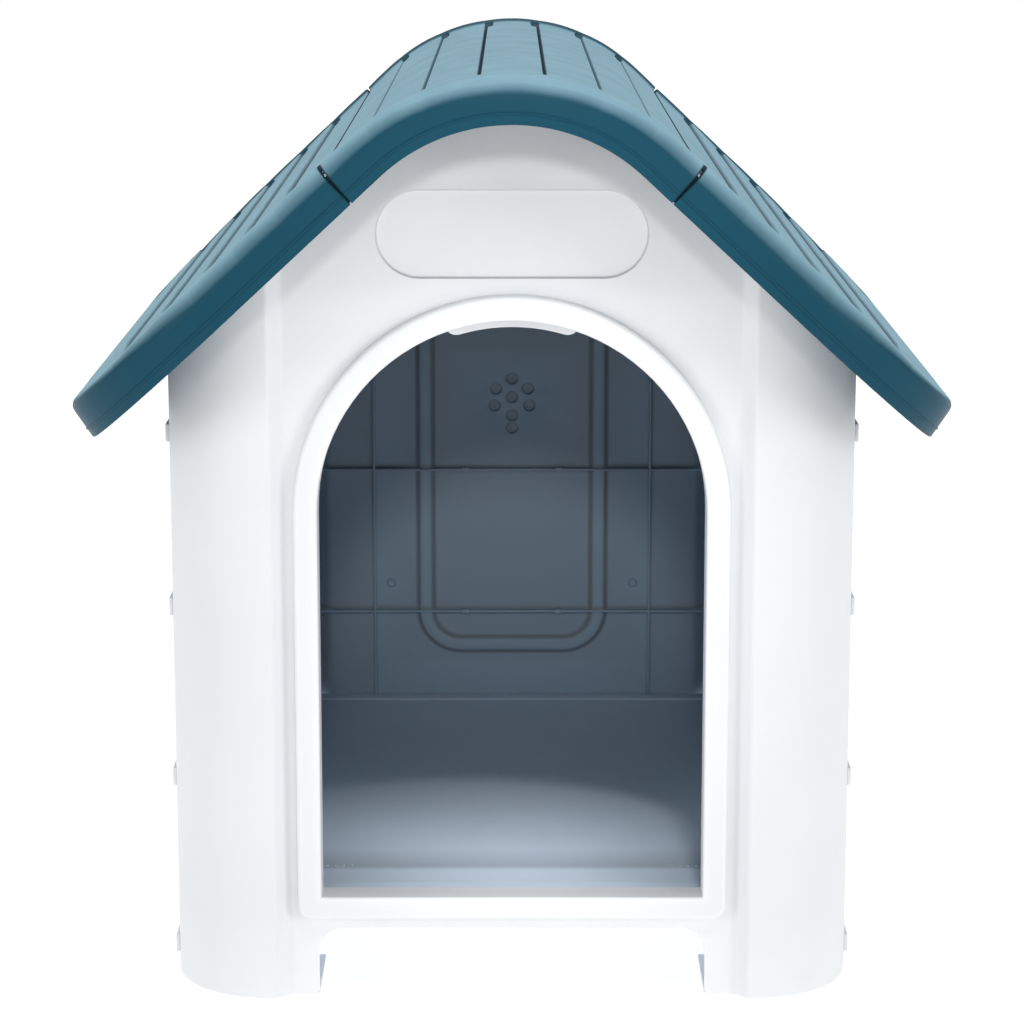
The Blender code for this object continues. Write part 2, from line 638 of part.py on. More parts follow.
# ---------------------------------------------------------------- finishes
def plastic(name, colour, roughness):
    material = bpy.data.materials.new(name)
    material.use_nodes = True
    shader = next(n for n in material.node_tree.nodes if n.type == "BSDF_PRINCIPLED")
    shader.inputs["Base Color"].default_value = (*colour, 1.0)
    shader.inputs["Roughness"].default_value = roughness
    shader.inputs["Metallic"].default_value = 0.0
    return material


def finish(obj, colour, roughness):
    clean(obj)
    obj.data.materials.clear()
    obj.data.materials.append(plastic(obj.name + "_plastic", colour, roughness))
    obj.data.shade_smooth()
    obj.data.set_sharp_from_angle(angle=math.radians(25))


def main():
    for obj in list(bpy.data.objects):
        bpy.data.objects.remove(obj)
    walls = [front_panel(), rear_panel(), side_panel(-1), side_panel(1), door_surround(), floor_tray()]
    roof = [ridge_cap(), roof_slope(-1), roof_slope(1)]
    for obj in walls:
        finish(obj, WHITE, 0.42)
    for obj in roof:
        finish(obj, TEAL, 0.45)


main()
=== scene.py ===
"""Fine shells, moulded finishes, stage and light for a snap-together animal hutch.

The hutch has four white wall panels, a door surround and a floor tray that stand on the ground, and a
planked teal roof of three shells that lifts off. +Z is up and the doorway faces -Y. Sizes are metres.
"""
import math

import bmesh
import bpy
import numpy as np
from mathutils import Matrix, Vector
from mathutils.geometry import delaunay_2d_cdt


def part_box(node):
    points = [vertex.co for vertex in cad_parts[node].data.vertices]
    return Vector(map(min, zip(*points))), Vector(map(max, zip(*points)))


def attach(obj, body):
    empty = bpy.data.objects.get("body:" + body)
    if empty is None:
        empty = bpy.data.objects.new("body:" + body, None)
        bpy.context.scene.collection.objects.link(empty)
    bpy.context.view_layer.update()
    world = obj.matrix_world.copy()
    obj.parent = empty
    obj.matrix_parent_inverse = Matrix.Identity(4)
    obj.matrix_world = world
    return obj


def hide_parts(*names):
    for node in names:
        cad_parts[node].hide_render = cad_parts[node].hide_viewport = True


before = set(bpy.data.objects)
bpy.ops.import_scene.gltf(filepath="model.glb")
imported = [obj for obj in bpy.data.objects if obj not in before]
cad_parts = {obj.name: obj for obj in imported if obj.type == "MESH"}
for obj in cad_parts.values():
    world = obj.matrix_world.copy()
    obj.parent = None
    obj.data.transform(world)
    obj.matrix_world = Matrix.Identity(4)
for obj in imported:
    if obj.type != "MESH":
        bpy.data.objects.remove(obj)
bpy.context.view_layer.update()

bl_info = {
    "name": "Moulded Animal Hutch",
    "version": (1, 0, 0),
    "blender": (4, 5, 0),
    "location": "3D View > Sidebar > Hutch",
    "description": "Builds the shells, clips, ribs and finishes of a snap-together animal hutch",
    "category": "Add Mesh",
}

# ---- places read from the frame
SIDE_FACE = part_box("front_panel")[1].x
COLUMN_FACE_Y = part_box("front_panel")[0].y
COLUMN_EDGE_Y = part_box("front_panel")[1].y
HALF_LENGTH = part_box("roof_ridge_cap")[1].y
SURROUND_LOW, SURROUND_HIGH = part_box("door_surround")
FLOOR_LOW, FLOOR_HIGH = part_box("floor_tray")
SIDE_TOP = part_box("side_panel_right")[1].z
LEDGE_END_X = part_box("side_panel_right")[0].x

MM = 0.001
DEGREE = math.pi / 180
HOUSE, ROOF = "house", "roof"


def length(name, text, default):
    """A length property in metres."""
    return bpy.props.FloatProperty(name=name, description=text, default=default, unit="LENGTH", precision=5)


def colour(name, text, default):
    """A colour property."""
    return bpy.props.FloatVectorProperty(name=name, description=text, default=default, subtype="COLOR",
                                         size=3, min=0.0, max=1.0)


class HutchRoofSizes(bpy.types.PropertyGroup):
    """Sizes of the planked roof."""
    eave_x: length("Eave", "Middle of the ridge to the eave, along X", 0.3055)
    ridge_height: length("Ridge Height", "Ground to the plank surface at the ridge", 0.650)
    ridge_radius: length("Ridge Radius", "Radius of the plank surface over the ridge", 0.1527)
    pitch: bpy.props.FloatProperty(name="Pitch", description="Slope of the straight part of the roof",
                                   default=43.0 * DEGREE, subtype="ANGLE")
    corner_radius: length("Eave Corner", "Radius of the eave corners, seen from above", 0.100)
    gable_bow: length("Gable Bow", "How much further the ridge reaches than the eave does", 0.020)
    skin: length("Skin", "Thickness of the roof shells", 0.004)
    fascia_depth: length("Fascia Depth", "Height of the fascia, square to the planks", 0.028)
    fascia_wall: length("Fascia Wall", "Thickness of the fascia", 0.005)
    seam_x: length("Seam", "Middle of the ridge to the joint with a slope, along X", 0.123)
    seam_gap: length("Seam Gap", "From the middle of the joint to either shell", 0.0008)
    roll_radius: length("Gable Roll", "Radius from the planks into the fascia at the gables", 0.016)
    eave_roll: length("Eave Roll", "Radius from the planks into the fascia at the eaves", 0.007)
    eave_flare: length("Eave Flare", "How far the foot of the fascia stands out at the eaves", 0.0032)
    lip_rise: length("Lip Rise", "How far the gable ends stand above the planks", 0.0036)
    front_lip_reach: length("Front Lip Reach", "Where the rise towards the front starts", 0.090)
    rear_lip_reach: length("Rear Lip Reach", "Where the rise towards the rear starts", 0.027)
    groove_width: length("Groove Width", "Opening of the ridge cap's grooves", 0.0030)
    slope_groove_width: length("Slope Groove Width", "Opening of the slopes' grooves", 0.0050)
    groove_depth: length("Groove Depth", "Depth of the grooves between planks", 0.0030)
    plank_lap: length("Plank Lap", "How far a slope's plank stands over the plank above it", 0.0020)
    plank_crown: length("Plank Crown", "How far the middle of a plank stands proud", 0.0003)
    pocket_width: length("Pocket Width", "Width of the pocket at the rear end of a groove", 0.0065)
    pocket_length: length("Pocket Length", "Length of the pocket at the rear end of a groove", 0.040)
    bead_radius: length("Bead Radius", "Radius of the thin bead along the fascia", 0.0009)
    bead_depth: length("Bead Depth", "Place of the thin bead below the plank surface", 0.0205)
    rib_wall: length("Rib Wall", "Thickness of the locating ribs", 0.003)
    rib_drop: length("Rib Drop", "Height of the locating ribs below the skin", 0.012)


class HutchWallSizes(bpy.types.PropertyGroup):
    """Sizes of the walls, the doorway and the floor."""
    wall: length("Wall", "Thickness of the wall panels", 0.0035)
    column_face_x: length("Column Face", "Where the front of a corner column starts", 0.166)
    step_x: length("Step", "Width of the sloped step beside a column", 0.0085)
    panel_recess: length("Panel Recess", "Middle of the panel behind the columns", 0.009)
    edge_round: length("Edge Round", "Radius on the edges of the panels", 0.0009)
    foot_inner_x: length("Foot", "Inner side of the feet", 0.136)
    undercut_top: length("Undercut", "Height of the way under the panels", 0.0495)
    undercut_radius: length("Undercut Radius", "Upper corners of the way under the panels", 0.0175)
    foot_corner: length("Foot Corner", "Radius at the inner bottom of a foot", 0.006)
    side_undercut_y: length("Side Undercut", "Half length of the way under the side panels", 0.130)
    roof_seat: length("Roof Seat", "Room between the roof skin and the walls", 0.0006)
    door_half: length("Door Half Width", "Middle to side of the doorway", 0.1335)
    sill_top: length("Sill", "Height of the door sill", 0.0754)
    door_crown: length("Door Crown", "Height of the top of the doorway", 0.4832)
    surround_neck: length("Surround Neck", "Wall of the surround inside the doorway", 0.0035)
    surround_corner: length("Surround Corner", "Lower outer corners of the surround", 0.0085)
    tab_drop: length("Tab Drop", "Height of the tab under the crown of the doorway", 0.007)
    tab_wall: length("Tab Wall", "Thickness of the tab under the crown", 0.003)
    name_half: length("Name Panel", "Half length of the blank name panel", 0.0928)
    name_radius: length("Name Panel Radius", "Half height of the blank name panel", 0.0304)
    name_height: length("Name Panel Height", "Middle of the blank name panel", 0.541)
    name_depth: length("Name Panel Depth", "Depth of the blank name panel", 0.0026)
    bead_half: length("Bead Half Width", "Middle of each leg of the U bead", 0.0743)
    bead_width: length("Bead Width", "Width of the U bead", 0.0173)
    bead_rise: length("Bead Rise", "Height of the U bead", 0.004)
    bead_bottom: length("Bead Bottom", "Height of the foot of the U bead", 0.118)
    bead_top: length("Bead Top", "Height of the ends of the U bead", 0.455)
    bead_corner: length("Bead Corner", "Radius of the corners of the U bead", 0.030)
    dimple_radius: length("Dimple Radius", "Radius of the round dimples in the rear wall", 0.0052)
    dimple_depth: length("Dimple Depth", "Depth of the round dimples", 0.0024)
    stiffener_x: length("Stiffener", "Upright ribs of the rear panel", 0.1188)
    stiffener_low: length("Low Stiffener", "Height of the lower level ribs", 0.1478)
    stiffener_high: length("High Stiffener", "Height of the upper level ribs", 0.273)
    stiffener_wall: length("Stiffener Wall", "Thickness of the stiffening ribs", 0.002)
    stiffener_rise: length("Stiffener Rise", "Height of the stiffening ribs", 0.006)
    clip_first: length("First Clip", "Height of the lowest corner clips", 0.019)
    clip_pitch: length("Clip Pitch", "Upward distance between corner clips", 0.1252)
    clip_height: length("Clip Height", "Height of a corner clip", 0.013)
    clip_wall: length("Clip Wall", "How far a corner clip stands out", 0.0023)
    clip_reach: length("Clip Reach", "How far a clip reaches over the column", 0.018)
    clip_root: length("Clip Root", "How far a clip is rooted on the side panel", 0.008)


class HutchColours(bpy.types.PropertyGroup):
    """Colours of the finishes."""
    wall_white: colour("Wall White", "Moulded polypropylene of the walls", (0.82, 0.832, 0.85))
    # Painted shade: a darker blue-grey painted on the walls' inner faces for the deep shade inside the cabin.
    indoor_painted_shade: colour("Indoor Painted Shade", "The same plastic where the walls look into the cabin",
                          (0.36, 0.47, 0.57))
    floor_white: colour("Floor White", "Moulded polypropylene of the floor tray", (0.68, 0.78, 0.90))
    roof_teal: colour("Roof Teal", "Moulded polypropylene of the roof", (0.004, 0.062, 0.100))
    # Painted sheen: the pale film stands for the roof's grazing reflection, lighter on faces that look up.
    roof_painted_sheen: colour("Roof Painted Sheen", "Pale film on the roof's upper faces", (0.26, 0.44, 0.53))
    stage_white: colour("Stage", "Floor under the hutch", (0.30, 0.30, 0.30))


# ------------------------------------------------------------------ outlines
def arc(centre, radius, start, end, step=6 * DEGREE):
    """Points on an arc, both ends included."""
    count = max(2, math.ceil(abs(end - start) / step))
    angles = np.linspace(start, end, count + 1)
    return [(centre[0] + radius * math.cos(a), centre[1] + radius * math.sin(a)) for a in angles]


def filleted(corners, step=6 * DEGREE):
    """A line through corners ((x, y), radius), with an arc at each corner that has a radius."""
    points = [corners[0][0]]
    for (before, _), (corner, radius), (after, _) in zip(corners, corners[1:], corners[2:]):
        into = (Vector(corner) - Vector(before)).normalized()
        out = (Vector(after) - Vector(corner)).normalized()
        turn = math.atan2(into.x * out.y - into.y * out.x, into.dot(out))
        if radius <= 0 or abs(turn) < DEGREE:
            points.append(corner)
            continue
        side = math.copysign(1.0, turn)
        start = Vector(corner) - into * radius * math.tan(abs(turn) / 2)
        centre = start + Vector((-into.y, into.x)) * side * radius
        first = math.atan2(start.y - centre.y, start.x - centre.x)
        points += arc(centre, radius, first, first + turn, step)
    return points + [corners[-1][0]]


def rounded_box(low, high, radius, step=9 * DEGREE):
    """A rectangle with round corners, counter-clockwise."""
    centres = [(high[0] - radius, low[1] + radius), (high[0] - radius, high[1] - radius),
               (low[0] + radius, high[1] - radius), (low[0] + radius, low[1] + radius)]
    points = []
    for number, centre in enumerate(centres):
        start = (number - 1) * math.pi / 2
        points += arc(centre, radius, start, start + math.pi / 2, step)
    return points


def mirrored(half):
    """Closes half an outline, given from bottom to top at the positive side, with its mirror image."""
    return half + [(-u, v) for u, v in reversed(half) if abs(u) > 1e-9]


def parallel(line, distance, closed):
    """The line moved to its left by a distance."""
    points = np.asarray(line, float)
    ahead = np.roll(points, -1, axis=0) - points
    if not closed:
        ahead[-1] = ahead[-2]
    ahead /= np.linalg.norm(ahead, axis=1)[:, None]
    behind = np.roll(ahead, 1, axis=0)
    if not closed:
        behind[0] = ahead[0]
    left = np.stack([-ahead[:, 1], ahead[:, 0]], axis=1) + np.stack([-behind[:, 1], behind[:, 0]], axis=1)
    share = 1 + np.sum(ahead * behind, axis=1)
    return points + left * (distance / np.maximum(share, 0.3))[:, None]


def closed_line(ring):
    return list(ring) + [ring[0]]


def inside(points, ring):
    """Which points lie inside a closed outline."""
    ring = np.asarray(ring, float)
    found = np.zeros(len(points), bool)
    for (x0, y0), (x1, y1) in zip(ring, np.roll(ring, -1, axis=0)):
        if y0 == y1:
            continue
        crosses = (y0 > points[:, 1]) != (y1 > points[:, 1])
        found ^= crosses & (points[:, 0] < x0 + (points[:, 1] - y0) * (x1 - x0) / (y1 - y0))
    return found


def distance(points, line):
    """Distance from each point to a line through points."""
    line = np.asarray(line, float)
    best = np.full(len(points), 1e3)
    for start, end in zip(line[:-1], line[1:]):
        run = end - start
        share = np.clip((points - start) @ run / max(run @ run, 1e-14), 0, 1)
        best = np.minimum(best, np.hypot(*(points - start - share[:, None] * run).T))
    return best


def eased(share):
    """A smooth step from 0 to 1."""
    share = np.clip(share, 0, 1)
    return share * share * (3 - 2 * share)


def round_over(away, radius):
    """How far a face has dropped at a distance from its rounded edge."""
    near = np.clip(radius - away, 0, radius)
    return radius - np.sqrt(radius ** 2 - near ** 2)


# ------------------------------------------------------------------ meshes
def finish(slot):
    """The finish made for a slot."""
    return bpy.data.materials[slot + "_finish"]


def flat_net(outline, holes=(), lines=()):
    """Points and triangles of a flat sheet, with edges along its outline, its holes and the given lines."""
    points, edges = [], []
    for line in [closed_line(outline)] + [closed_line(hole) for hole in holes] + list(lines):
        first = len(points)
        points += [Vector((u / MM, v / MM)) for u, v in line]
        edges += [(first + i, first + i + 1) for i in range(len(line) - 1)]
    found = delaunay_2d_cdt(points, edges, [], 0, 0.002)
    net = np.array([tuple(p) for p in found[0]]) * MM
    triangles = np.array([list(face) for face in found[2]])
    centres = net[triangles].mean(axis=1)
    keep = inside(centres, outline)
    for hole in holes:
        keep &= ~inside(centres, hole)
    triangles = triangles[keep]
    used, places = np.unique(triangles, return_inverse=True)
    return net[used], places.reshape(-1, 3)


def make_mesh(name, points, faces, material, marks=None):
    """A smooth-shaded mesh object with outward faces. Marks are named values for each point."""
    mesh = bpy.data.meshes.new(name)
    mesh.from_pydata([tuple(p) for p in points], [], [tuple(int(i) for i in face) for face in faces])
    for mark, values in (marks or {}).items():
        mesh.attributes.new(mark, "FLOAT", "POINT").data.foreach_set("value", np.asarray(values, np.float32))
    bm = bmesh.new()
    bm.from_mesh(mesh)
    bmesh.ops.recalc_face_normals(bm, faces=bm.faces[:])
    bm.to_mesh(mesh)
    bm.free()
    obj = bpy.data.objects.new(name, mesh)
    bpy.context.scene.collection.objects.link(obj)
    if material:
        mesh.materials.append(finish(material))
    shade(obj)
    return obj


def shade(obj, angle=32 * DEGREE):
    """Smooth shading, with edges sharper than the angle kept crisp."""
    obj.data.shade_smooth()
    obj.data.set_sharp_from_angle(angle=angle)


def sheet(name, triangles, outer, inner, material, marks, inner_marks=None):
    """A closed sheet between two faces that share one net of triangles; each face has its own marks."""
    count = len(outer)
    steps = np.concatenate([triangles[:, [0, 1]], triangles[:, [1, 2]], triangles[:, [2, 0]]])
    there = {(a, b) for a, b in steps.tolist()}
    rims = [(b, a, a + count, b + count) for a, b in steps.tolist() if (b, a) not in there]
    faces = triangles.tolist() + (triangles[:, ::-1] + count).tolist() + rims
    blank = np.zeros(count)
    inner_marks = inner_marks or {}
    marks = {mark: np.concatenate([marks.get(mark, blank), inner_marks.get(mark, blank)])
             for mark in {**marks, **inner_marks}}
    return make_mesh(name, np.vstack([outer, inner]), faces, material, marks)


def loft(name, rings, material, marks=None):
    """A closed solid through closed rings of points, the last joined to the first."""
    count, around = len(rings), len(rings[0])
    faces = []
    for i in range(count):
        for j in range(around):
            after, beside = (i + 1) % count, (j + 1) % around
            faces.append((i * around + j, after * around + j, after * around + beside, i * around + beside))
    return make_mesh(name, np.vstack(rings), faces, material, marks)


def block(bm, low, high, bevel):
    """Adds a box with rounded edges to a mesh in the making."""
    made = bmesh.ops.create_cube(bm, size=1.0)
    size = Vector(high) - Vector(low)
    middle = (Vector(high) + Vector(low)) / 2
    for vertex in made["verts"]:
        vertex.co = Vector([c * s for c, s in zip(vertex.co, size)]) + middle
    edges = {edge for vertex in made["verts"] for edge in vertex.link_edges}
    bmesh.ops.bevel(bm, geom=list(edges), offset=bevel, segments=3, affect="EDGES", profile=0.5)


def from_bmesh(name, bm, material=None):
    """A smooth-shaded object from a mesh in the making, with outward faces."""
    mesh = bpy.data.meshes.new(name)
    bmesh.ops.recalc_face_normals(bm, faces=bm.faces[:])
    bm.to_mesh(mesh)
    bm.free()
    obj = bpy.data.objects.new(name, mesh)
    bpy.context.scene.collection.objects.link(obj)
    if material:
        mesh.materials.append(finish(material))
    shade(obj)
    return obj


def prism(bm, outline, low, high, place):
    """Adds a solid with a flat outline to a mesh in the making; place turns (a, b, c) into a point."""
    rings = [[bm.verts.new(place(a, b, c)) for a, b in outline] for c in (low, high)]
    count = len(outline)
    bm.faces.new(rings[0][::-1])
    bm.faces.new(rings[1])
    for i in range(count):
        after = (i + 1) % count
        bm.faces.new((rings[0][i], rings[0][after], rings[1][after], rings[1][i]))


def turned(points):
    """Points turned half a turn about Z."""
    return points * np.array([-1.0, -1.0, 1.0])


def settle(obj, body, slot, *nodes):
    """Makes a finished piece ride on its body, in place of the named CAD nodes."""
    if nodes:
        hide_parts(*nodes)
    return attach(obj, body)


def keep_result(obj):
    """Turns the evaluated object into a plain mesh and takes its modifiers off."""
    depsgraph = bpy.context.evaluated_depsgraph_get()
    result = bpy.data.meshes.new_from_object(obj.evaluated_get(depsgraph), depsgraph=depsgraph)
    obj.modifiers.clear()
    before = obj.data
    obj.data = result
    bpy.data.meshes.remove(before)
    shade(obj)
    return obj


# ------------------------------------------------------------------ geometry nodes
def new_tree(name, sockets):
    """A geometry node tree with a mesh in and out and the named inputs."""
    tree = bpy.data.node_groups.new(name, "GeometryNodeTree")
    tree.interface.new_socket("Geometry", in_out="INPUT", socket_type="NodeSocketGeometry")
    for socket, kind in sockets:
        tree.interface.new_socket(socket, in_out="INPUT", socket_type=kind)
    tree.interface.new_socket("Geometry", in_out="OUTPUT", socket_type="NodeSocketGeometry")
    return tree, tree.nodes.new("NodeGroupInput"), tree.nodes.new("NodeGroupOutput")


def end_tree(tree, source, given, result):
    """Ends a tree with Realize Instances and Set Material."""
    realize = tree.nodes.new("GeometryNodeRealizeInstances")
    paint = tree.nodes.new("GeometryNodeSetMaterial")
    tree.links.new(source, realize.inputs["Geometry"])
    tree.links.new(realize.outputs["Geometry"], paint.inputs["Geometry"])
    tree.links.new(given.outputs["Material"], paint.inputs["Material"])
    tree.links.new(paint.outputs["Geometry"], result.inputs["Geometry"])


def row_tree():
    """Repeats the given mesh along a straight row."""
    name = "Repeat in a Row"
    if name in bpy.data.node_groups:
        return bpy.data.node_groups[name]
    tree, given, result = new_tree(name, [("Count", "NodeSocketInt"), ("First", "NodeSocketVector"),
                                          ("Step", "NodeSocketVector"), ("Material", "NodeSocketMaterial")])
    line = tree.nodes.new("GeometryNodeMeshLine")
    line.mode = "OFFSET"
    copies = tree.nodes.new("GeometryNodeInstanceOnPoints")
    tree.links.new(given.outputs["Count"], line.inputs["Count"])
    tree.links.new(given.outputs["First"], line.inputs["Start Location"])
    tree.links.new(given.outputs["Step"], line.inputs["Offset"])
    tree.links.new(line.outputs["Mesh"], copies.inputs["Points"])
    tree.links.new(given.outputs["Geometry"], copies.inputs["Instance"])
    end_tree(tree, copies.outputs["Instances"], given, result)
    return tree


def bead_tree():
    """Runs a round bead along the given lines."""
    name = "Bead Along a Line"
    if name in bpy.data.node_groups:
        return bpy.data.node_groups[name]
    tree, given, result = new_tree(name, [("Radius", "NodeSocketFloat"), ("Sides", "NodeSocketInt"),
                                          ("Material", "NodeSocketMaterial")])
    line = tree.nodes.new("GeometryNodeMeshToCurve")
    ring = tree.nodes.new("GeometryNodeCurvePrimitiveCircle")
    sweep = tree.nodes.new("GeometryNodeCurveToMesh")
    sweep.inputs["Fill Caps"].default_value = True
    tree.links.new(given.outputs["Geometry"], line.inputs["Mesh"])
    tree.links.new(given.outputs["Radius"], ring.inputs["Radius"])
    tree.links.new(given.outputs["Sides"], ring.inputs["Resolution"])
    tree.links.new(line.outputs["Curve"], sweep.inputs["Curve"])
    tree.links.new(ring.outputs["Curve"], sweep.inputs["Profile Curve"])
    end_tree(tree, sweep.outputs["Mesh"], given, result)
    return tree


def run_tree(obj, tree, values):
    """Puts a tree on an object, sets its inputs and keeps the result as a plain mesh."""
    modifier = obj.modifiers.new(tree.name, "NODES")
    modifier.node_group = tree
    for item in tree.interface.items_tree:
        if item.in_out == "INPUT" and item.name in values:
            modifier[item.identifier] = values[item.name]
    return keep_result(obj)


def join_rows(name, rows, material):
    """Runs several rows of solids and joins them into one piece.

    Each row is (solid maker, count, first place, step)."""
    made = []
    for number, (maker, count, first, step) in enumerate(rows):
        bm = bmesh.new()
        maker(bm)
        obj = from_bmesh(f"{name}_{number}", bm)
        made.append(run_tree(obj, row_tree(), {"Count": count, "First": first, "Step": step,
                                               "Material": finish(material)}))
    bm = bmesh.new()
    for obj in made:
        bm.from_mesh(obj.data)
        bpy.data.objects.remove(obj)
    return from_bmesh(name, bm, material)


# ------------------------------------------------------------------ finishes
def new_group(name, inputs, outputs):
    """A shader node group with its named sockets."""
    group = bpy.data.node_groups.new(name, "ShaderNodeTree")
    for socket, kind, value in inputs:
        made = group.interface.new_socket(socket, in_out="INPUT", socket_type=kind)
        made.default_value = value
    for socket, kind in outputs:
        group.interface.new_socket(socket, in_out="OUTPUT", socket_type=kind)
    return group, group.nodes.new("NodeGroupInput"), group.nodes.new("NodeGroupOutput")


def maths(tree, operation, first, second, clamp=False):
    """A Math node; each operand is a socket or a number."""
    node = tree.nodes.new("ShaderNodeMath")
    node.operation = operation
    node.use_clamp = clamp
    for socket, value in zip(node.inputs, (first, second)):
        if isinstance(value, (int, float)):
            socket.default_value = value
        else:
            tree.links.new(value, socket)
    return node.outputs[0]


def noise(tree, coordinates, scale, detail, rough=0.5):
    """A Noise texture; scale is a socket or a number."""
    node = tree.nodes.new("ShaderNodeTexNoise")
    node.inputs["Detail"].default_value = detail
    node.inputs["Roughness"].default_value = rough
    if isinstance(scale, (int, float)):
        node.inputs["Scale"].default_value = scale
    else:
        tree.links.new(scale, node.inputs["Scale"])
    tree.links.new(coordinates, node.inputs["Vector"])
    return node.outputs["Fac"]


def grain_group():
    """Moulded grain: a fine height, and a slow change of tone with faint flow marks."""
    group, given, result = new_group(
        "Moulded Grain",
        [("Grain", "NodeSocketFloat", 620.0), ("Mottle", "NodeSocketFloat", 11.0)],
        [("Height", "NodeSocketFloat"), ("Tone", "NodeSocketFloat")])
    where = group.nodes.new("ShaderNodeTexCoord").outputs["Object"]
    fine = noise(group, where, given.outputs["Grain"], 2.0, 0.6)
    slow = noise(group, where, given.outputs["Mottle"], 4.0, 0.55)
    wavy = noise(group, where, 3.2, 1.0)
    height = maths(group, "ADD", fine, maths(group, "MULTIPLY", slow, 0.35))
    tone = maths(group, "ADD", maths(group, "MULTIPLY", slow, 0.7), maths(group, "MULTIPLY", wavy, 0.3))
    group.links.new(height, result.inputs["Height"])
    group.links.new(tone, result.inputs["Tone"])
    return group


def dust_and_sheen_group():
    """A thin film on faces that look up, broken up by noise: settled dust on the walls and floor, and a
    painted sheen on the roof.
    """
    group, given, result = new_group(
        "Settled Dust", [("Amount", "NodeSocketFloat", 0.3), ("Patches", "NodeSocketFloat", 26.0)],
        [("Mask", "NodeSocketFloat")])
    where = group.nodes.new("ShaderNodeTexCoord").outputs["Object"]
    geometry = group.nodes.new("ShaderNodeNewGeometry")
    split = group.nodes.new("ShaderNodeSeparateXYZ")
    group.links.new(geometry.outputs["Normal"], split.inputs["Vector"])
    up = maths(group, "MULTIPLY", maths(group, "SUBTRACT", split.outputs["Z"], 0.22), 2.1, clamp=True)
    broken = noise(group, where, given.outputs["Patches"], 3.0)
    patches = maths(group, "ADD", maths(group, "MULTIPLY", broken, 0.5), 0.75)
    mask = maths(group, "MULTIPLY", maths(group, "MULTIPLY", up, patches), given.outputs["Amount"])
    group.links.new(mask, result.inputs["Mask"])
    return group


def wear_and_highlight_group():
    """Worn edges and painted highlight: reads the points' edge mark and breaks it up; the mark is wear on
    edges and a painted highlight along the roof's rolled edge.
    """
    group, given, result = new_group("Edge Wear", [("Amount", "NodeSocketFloat", 0.4)],
                                     [("Mask", "NodeSocketFloat")])
    mark = group.nodes.new("ShaderNodeAttribute")
    mark.attribute_name = "edge"
    where = group.nodes.new("ShaderNodeTexCoord").outputs["Object"]
    broken = maths(group, "ADD", maths(group, "MULTIPLY", noise(group, where, 60.0, 3.0), 0.8), 0.4)
    worn = maths(group, "MULTIPLY", mark.outputs["Fac"], broken)
    mask = maths(group, "MULTIPLY", worn, given.outputs["Amount"])
    group.links.new(mask, result.inputs["Mask"])
    return group


def past(tree, value, edge, way=1):
    """1 where a value is past an edge and 0 before it, with a soft step of a millimetre."""
    return maths(tree, "MULTIPLY", maths(tree, "SUBTRACT", value, edge), way / MM, clamp=True)


def indoor_painted_shade_group():
    """Painted shade mask: 1 on the faces of the walls and their ribs that look into the cabin, where a darker
    colour is painted for the shade there, and 0 elsewhere.
    """
    group, given, result = new_group(
        "Indoors",
        [("Half Width", "NodeSocketFloat", 0.2385), ("Panel Half Width", "NodeSocketFloat", 0.1575),
         ("Front", "NodeSocketFloat", -0.205), ("Column", "NodeSocketFloat", 0.205),
         ("Rear Panel", "NodeSocketFloat", 0.2785), ("Rear Column", "NodeSocketFloat", 0.2885),
         ("Floor", "NodeSocketFloat", 0.070)],
        [("Mask", "NodeSocketFloat")])
    place = group.nodes.new("ShaderNodeSeparateXYZ")
    group.links.new(group.nodes.new("ShaderNodeTexCoord").outputs["Object"], place.inputs["Vector"])
    normal = group.nodes.new("ShaderNodeSeparateXYZ")
    group.links.new(group.nodes.new("ShaderNodeNewGeometry").outputs["Normal"], normal.inputs["Vector"])
    x, y, z = (place.outputs[axis] for axis in "XYZ")
    across = maths(group, "ABSOLUTE", x, 0.0)
    behind = past(group, y, given.outputs["Front"])
    room = maths(group, "MULTIPLY", behind, past(group, z, given.outputs["Floor"]))
    room = maths(group, "MULTIPLY", room, past(group, across, given.outputs["Half Width"], -1))
    middle = maths(group, "MAXIMUM", past(group, across, given.outputs["Panel Half Width"], -1),
                   past(group, y, given.outputs["Column"], -1))
    near = maths(group, "MULTIPLY", past(group, y, given.outputs["Rear Panel"], -1), middle)
    looks_in = maths(group, "LESS_THAN", normal.outputs["Y"], -0.05)
    far = maths(group, "MULTIPLY", past(group, y, given.outputs["Rear Column"], -1), looks_in)
    mask = maths(group, "MULTIPLY", room, maths(group, "MAXIMUM", near, far))
    group.links.new(mask, result.inputs["Mask"])
    return group


def use_group(tree, group, **values):
    node = tree.nodes.new("ShaderNodeGroup")
    node.node_tree = group
    for socket, value in values.items():
        node.inputs[socket].default_value = value
    return node


def tint(tree, share, first, second):
    """Mixes two colours; each is a socket or a colour."""
    node = tree.nodes.new("ShaderNodeMix")
    node.data_type = "RGBA"
    factor, low, high = node.inputs[0], node.inputs[6], node.inputs[7]
    tree.links.new(share, factor)
    for socket, value in ((low, first), (high, second)):
        if isinstance(value, tuple):
            socket.default_value = (*value, 1.0)
        else:
            tree.links.new(value, socket)
    return node.outputs[2]


def scaled(shade_of, factor):
    return tuple(min(1.0, c * factor) for c in shade_of)


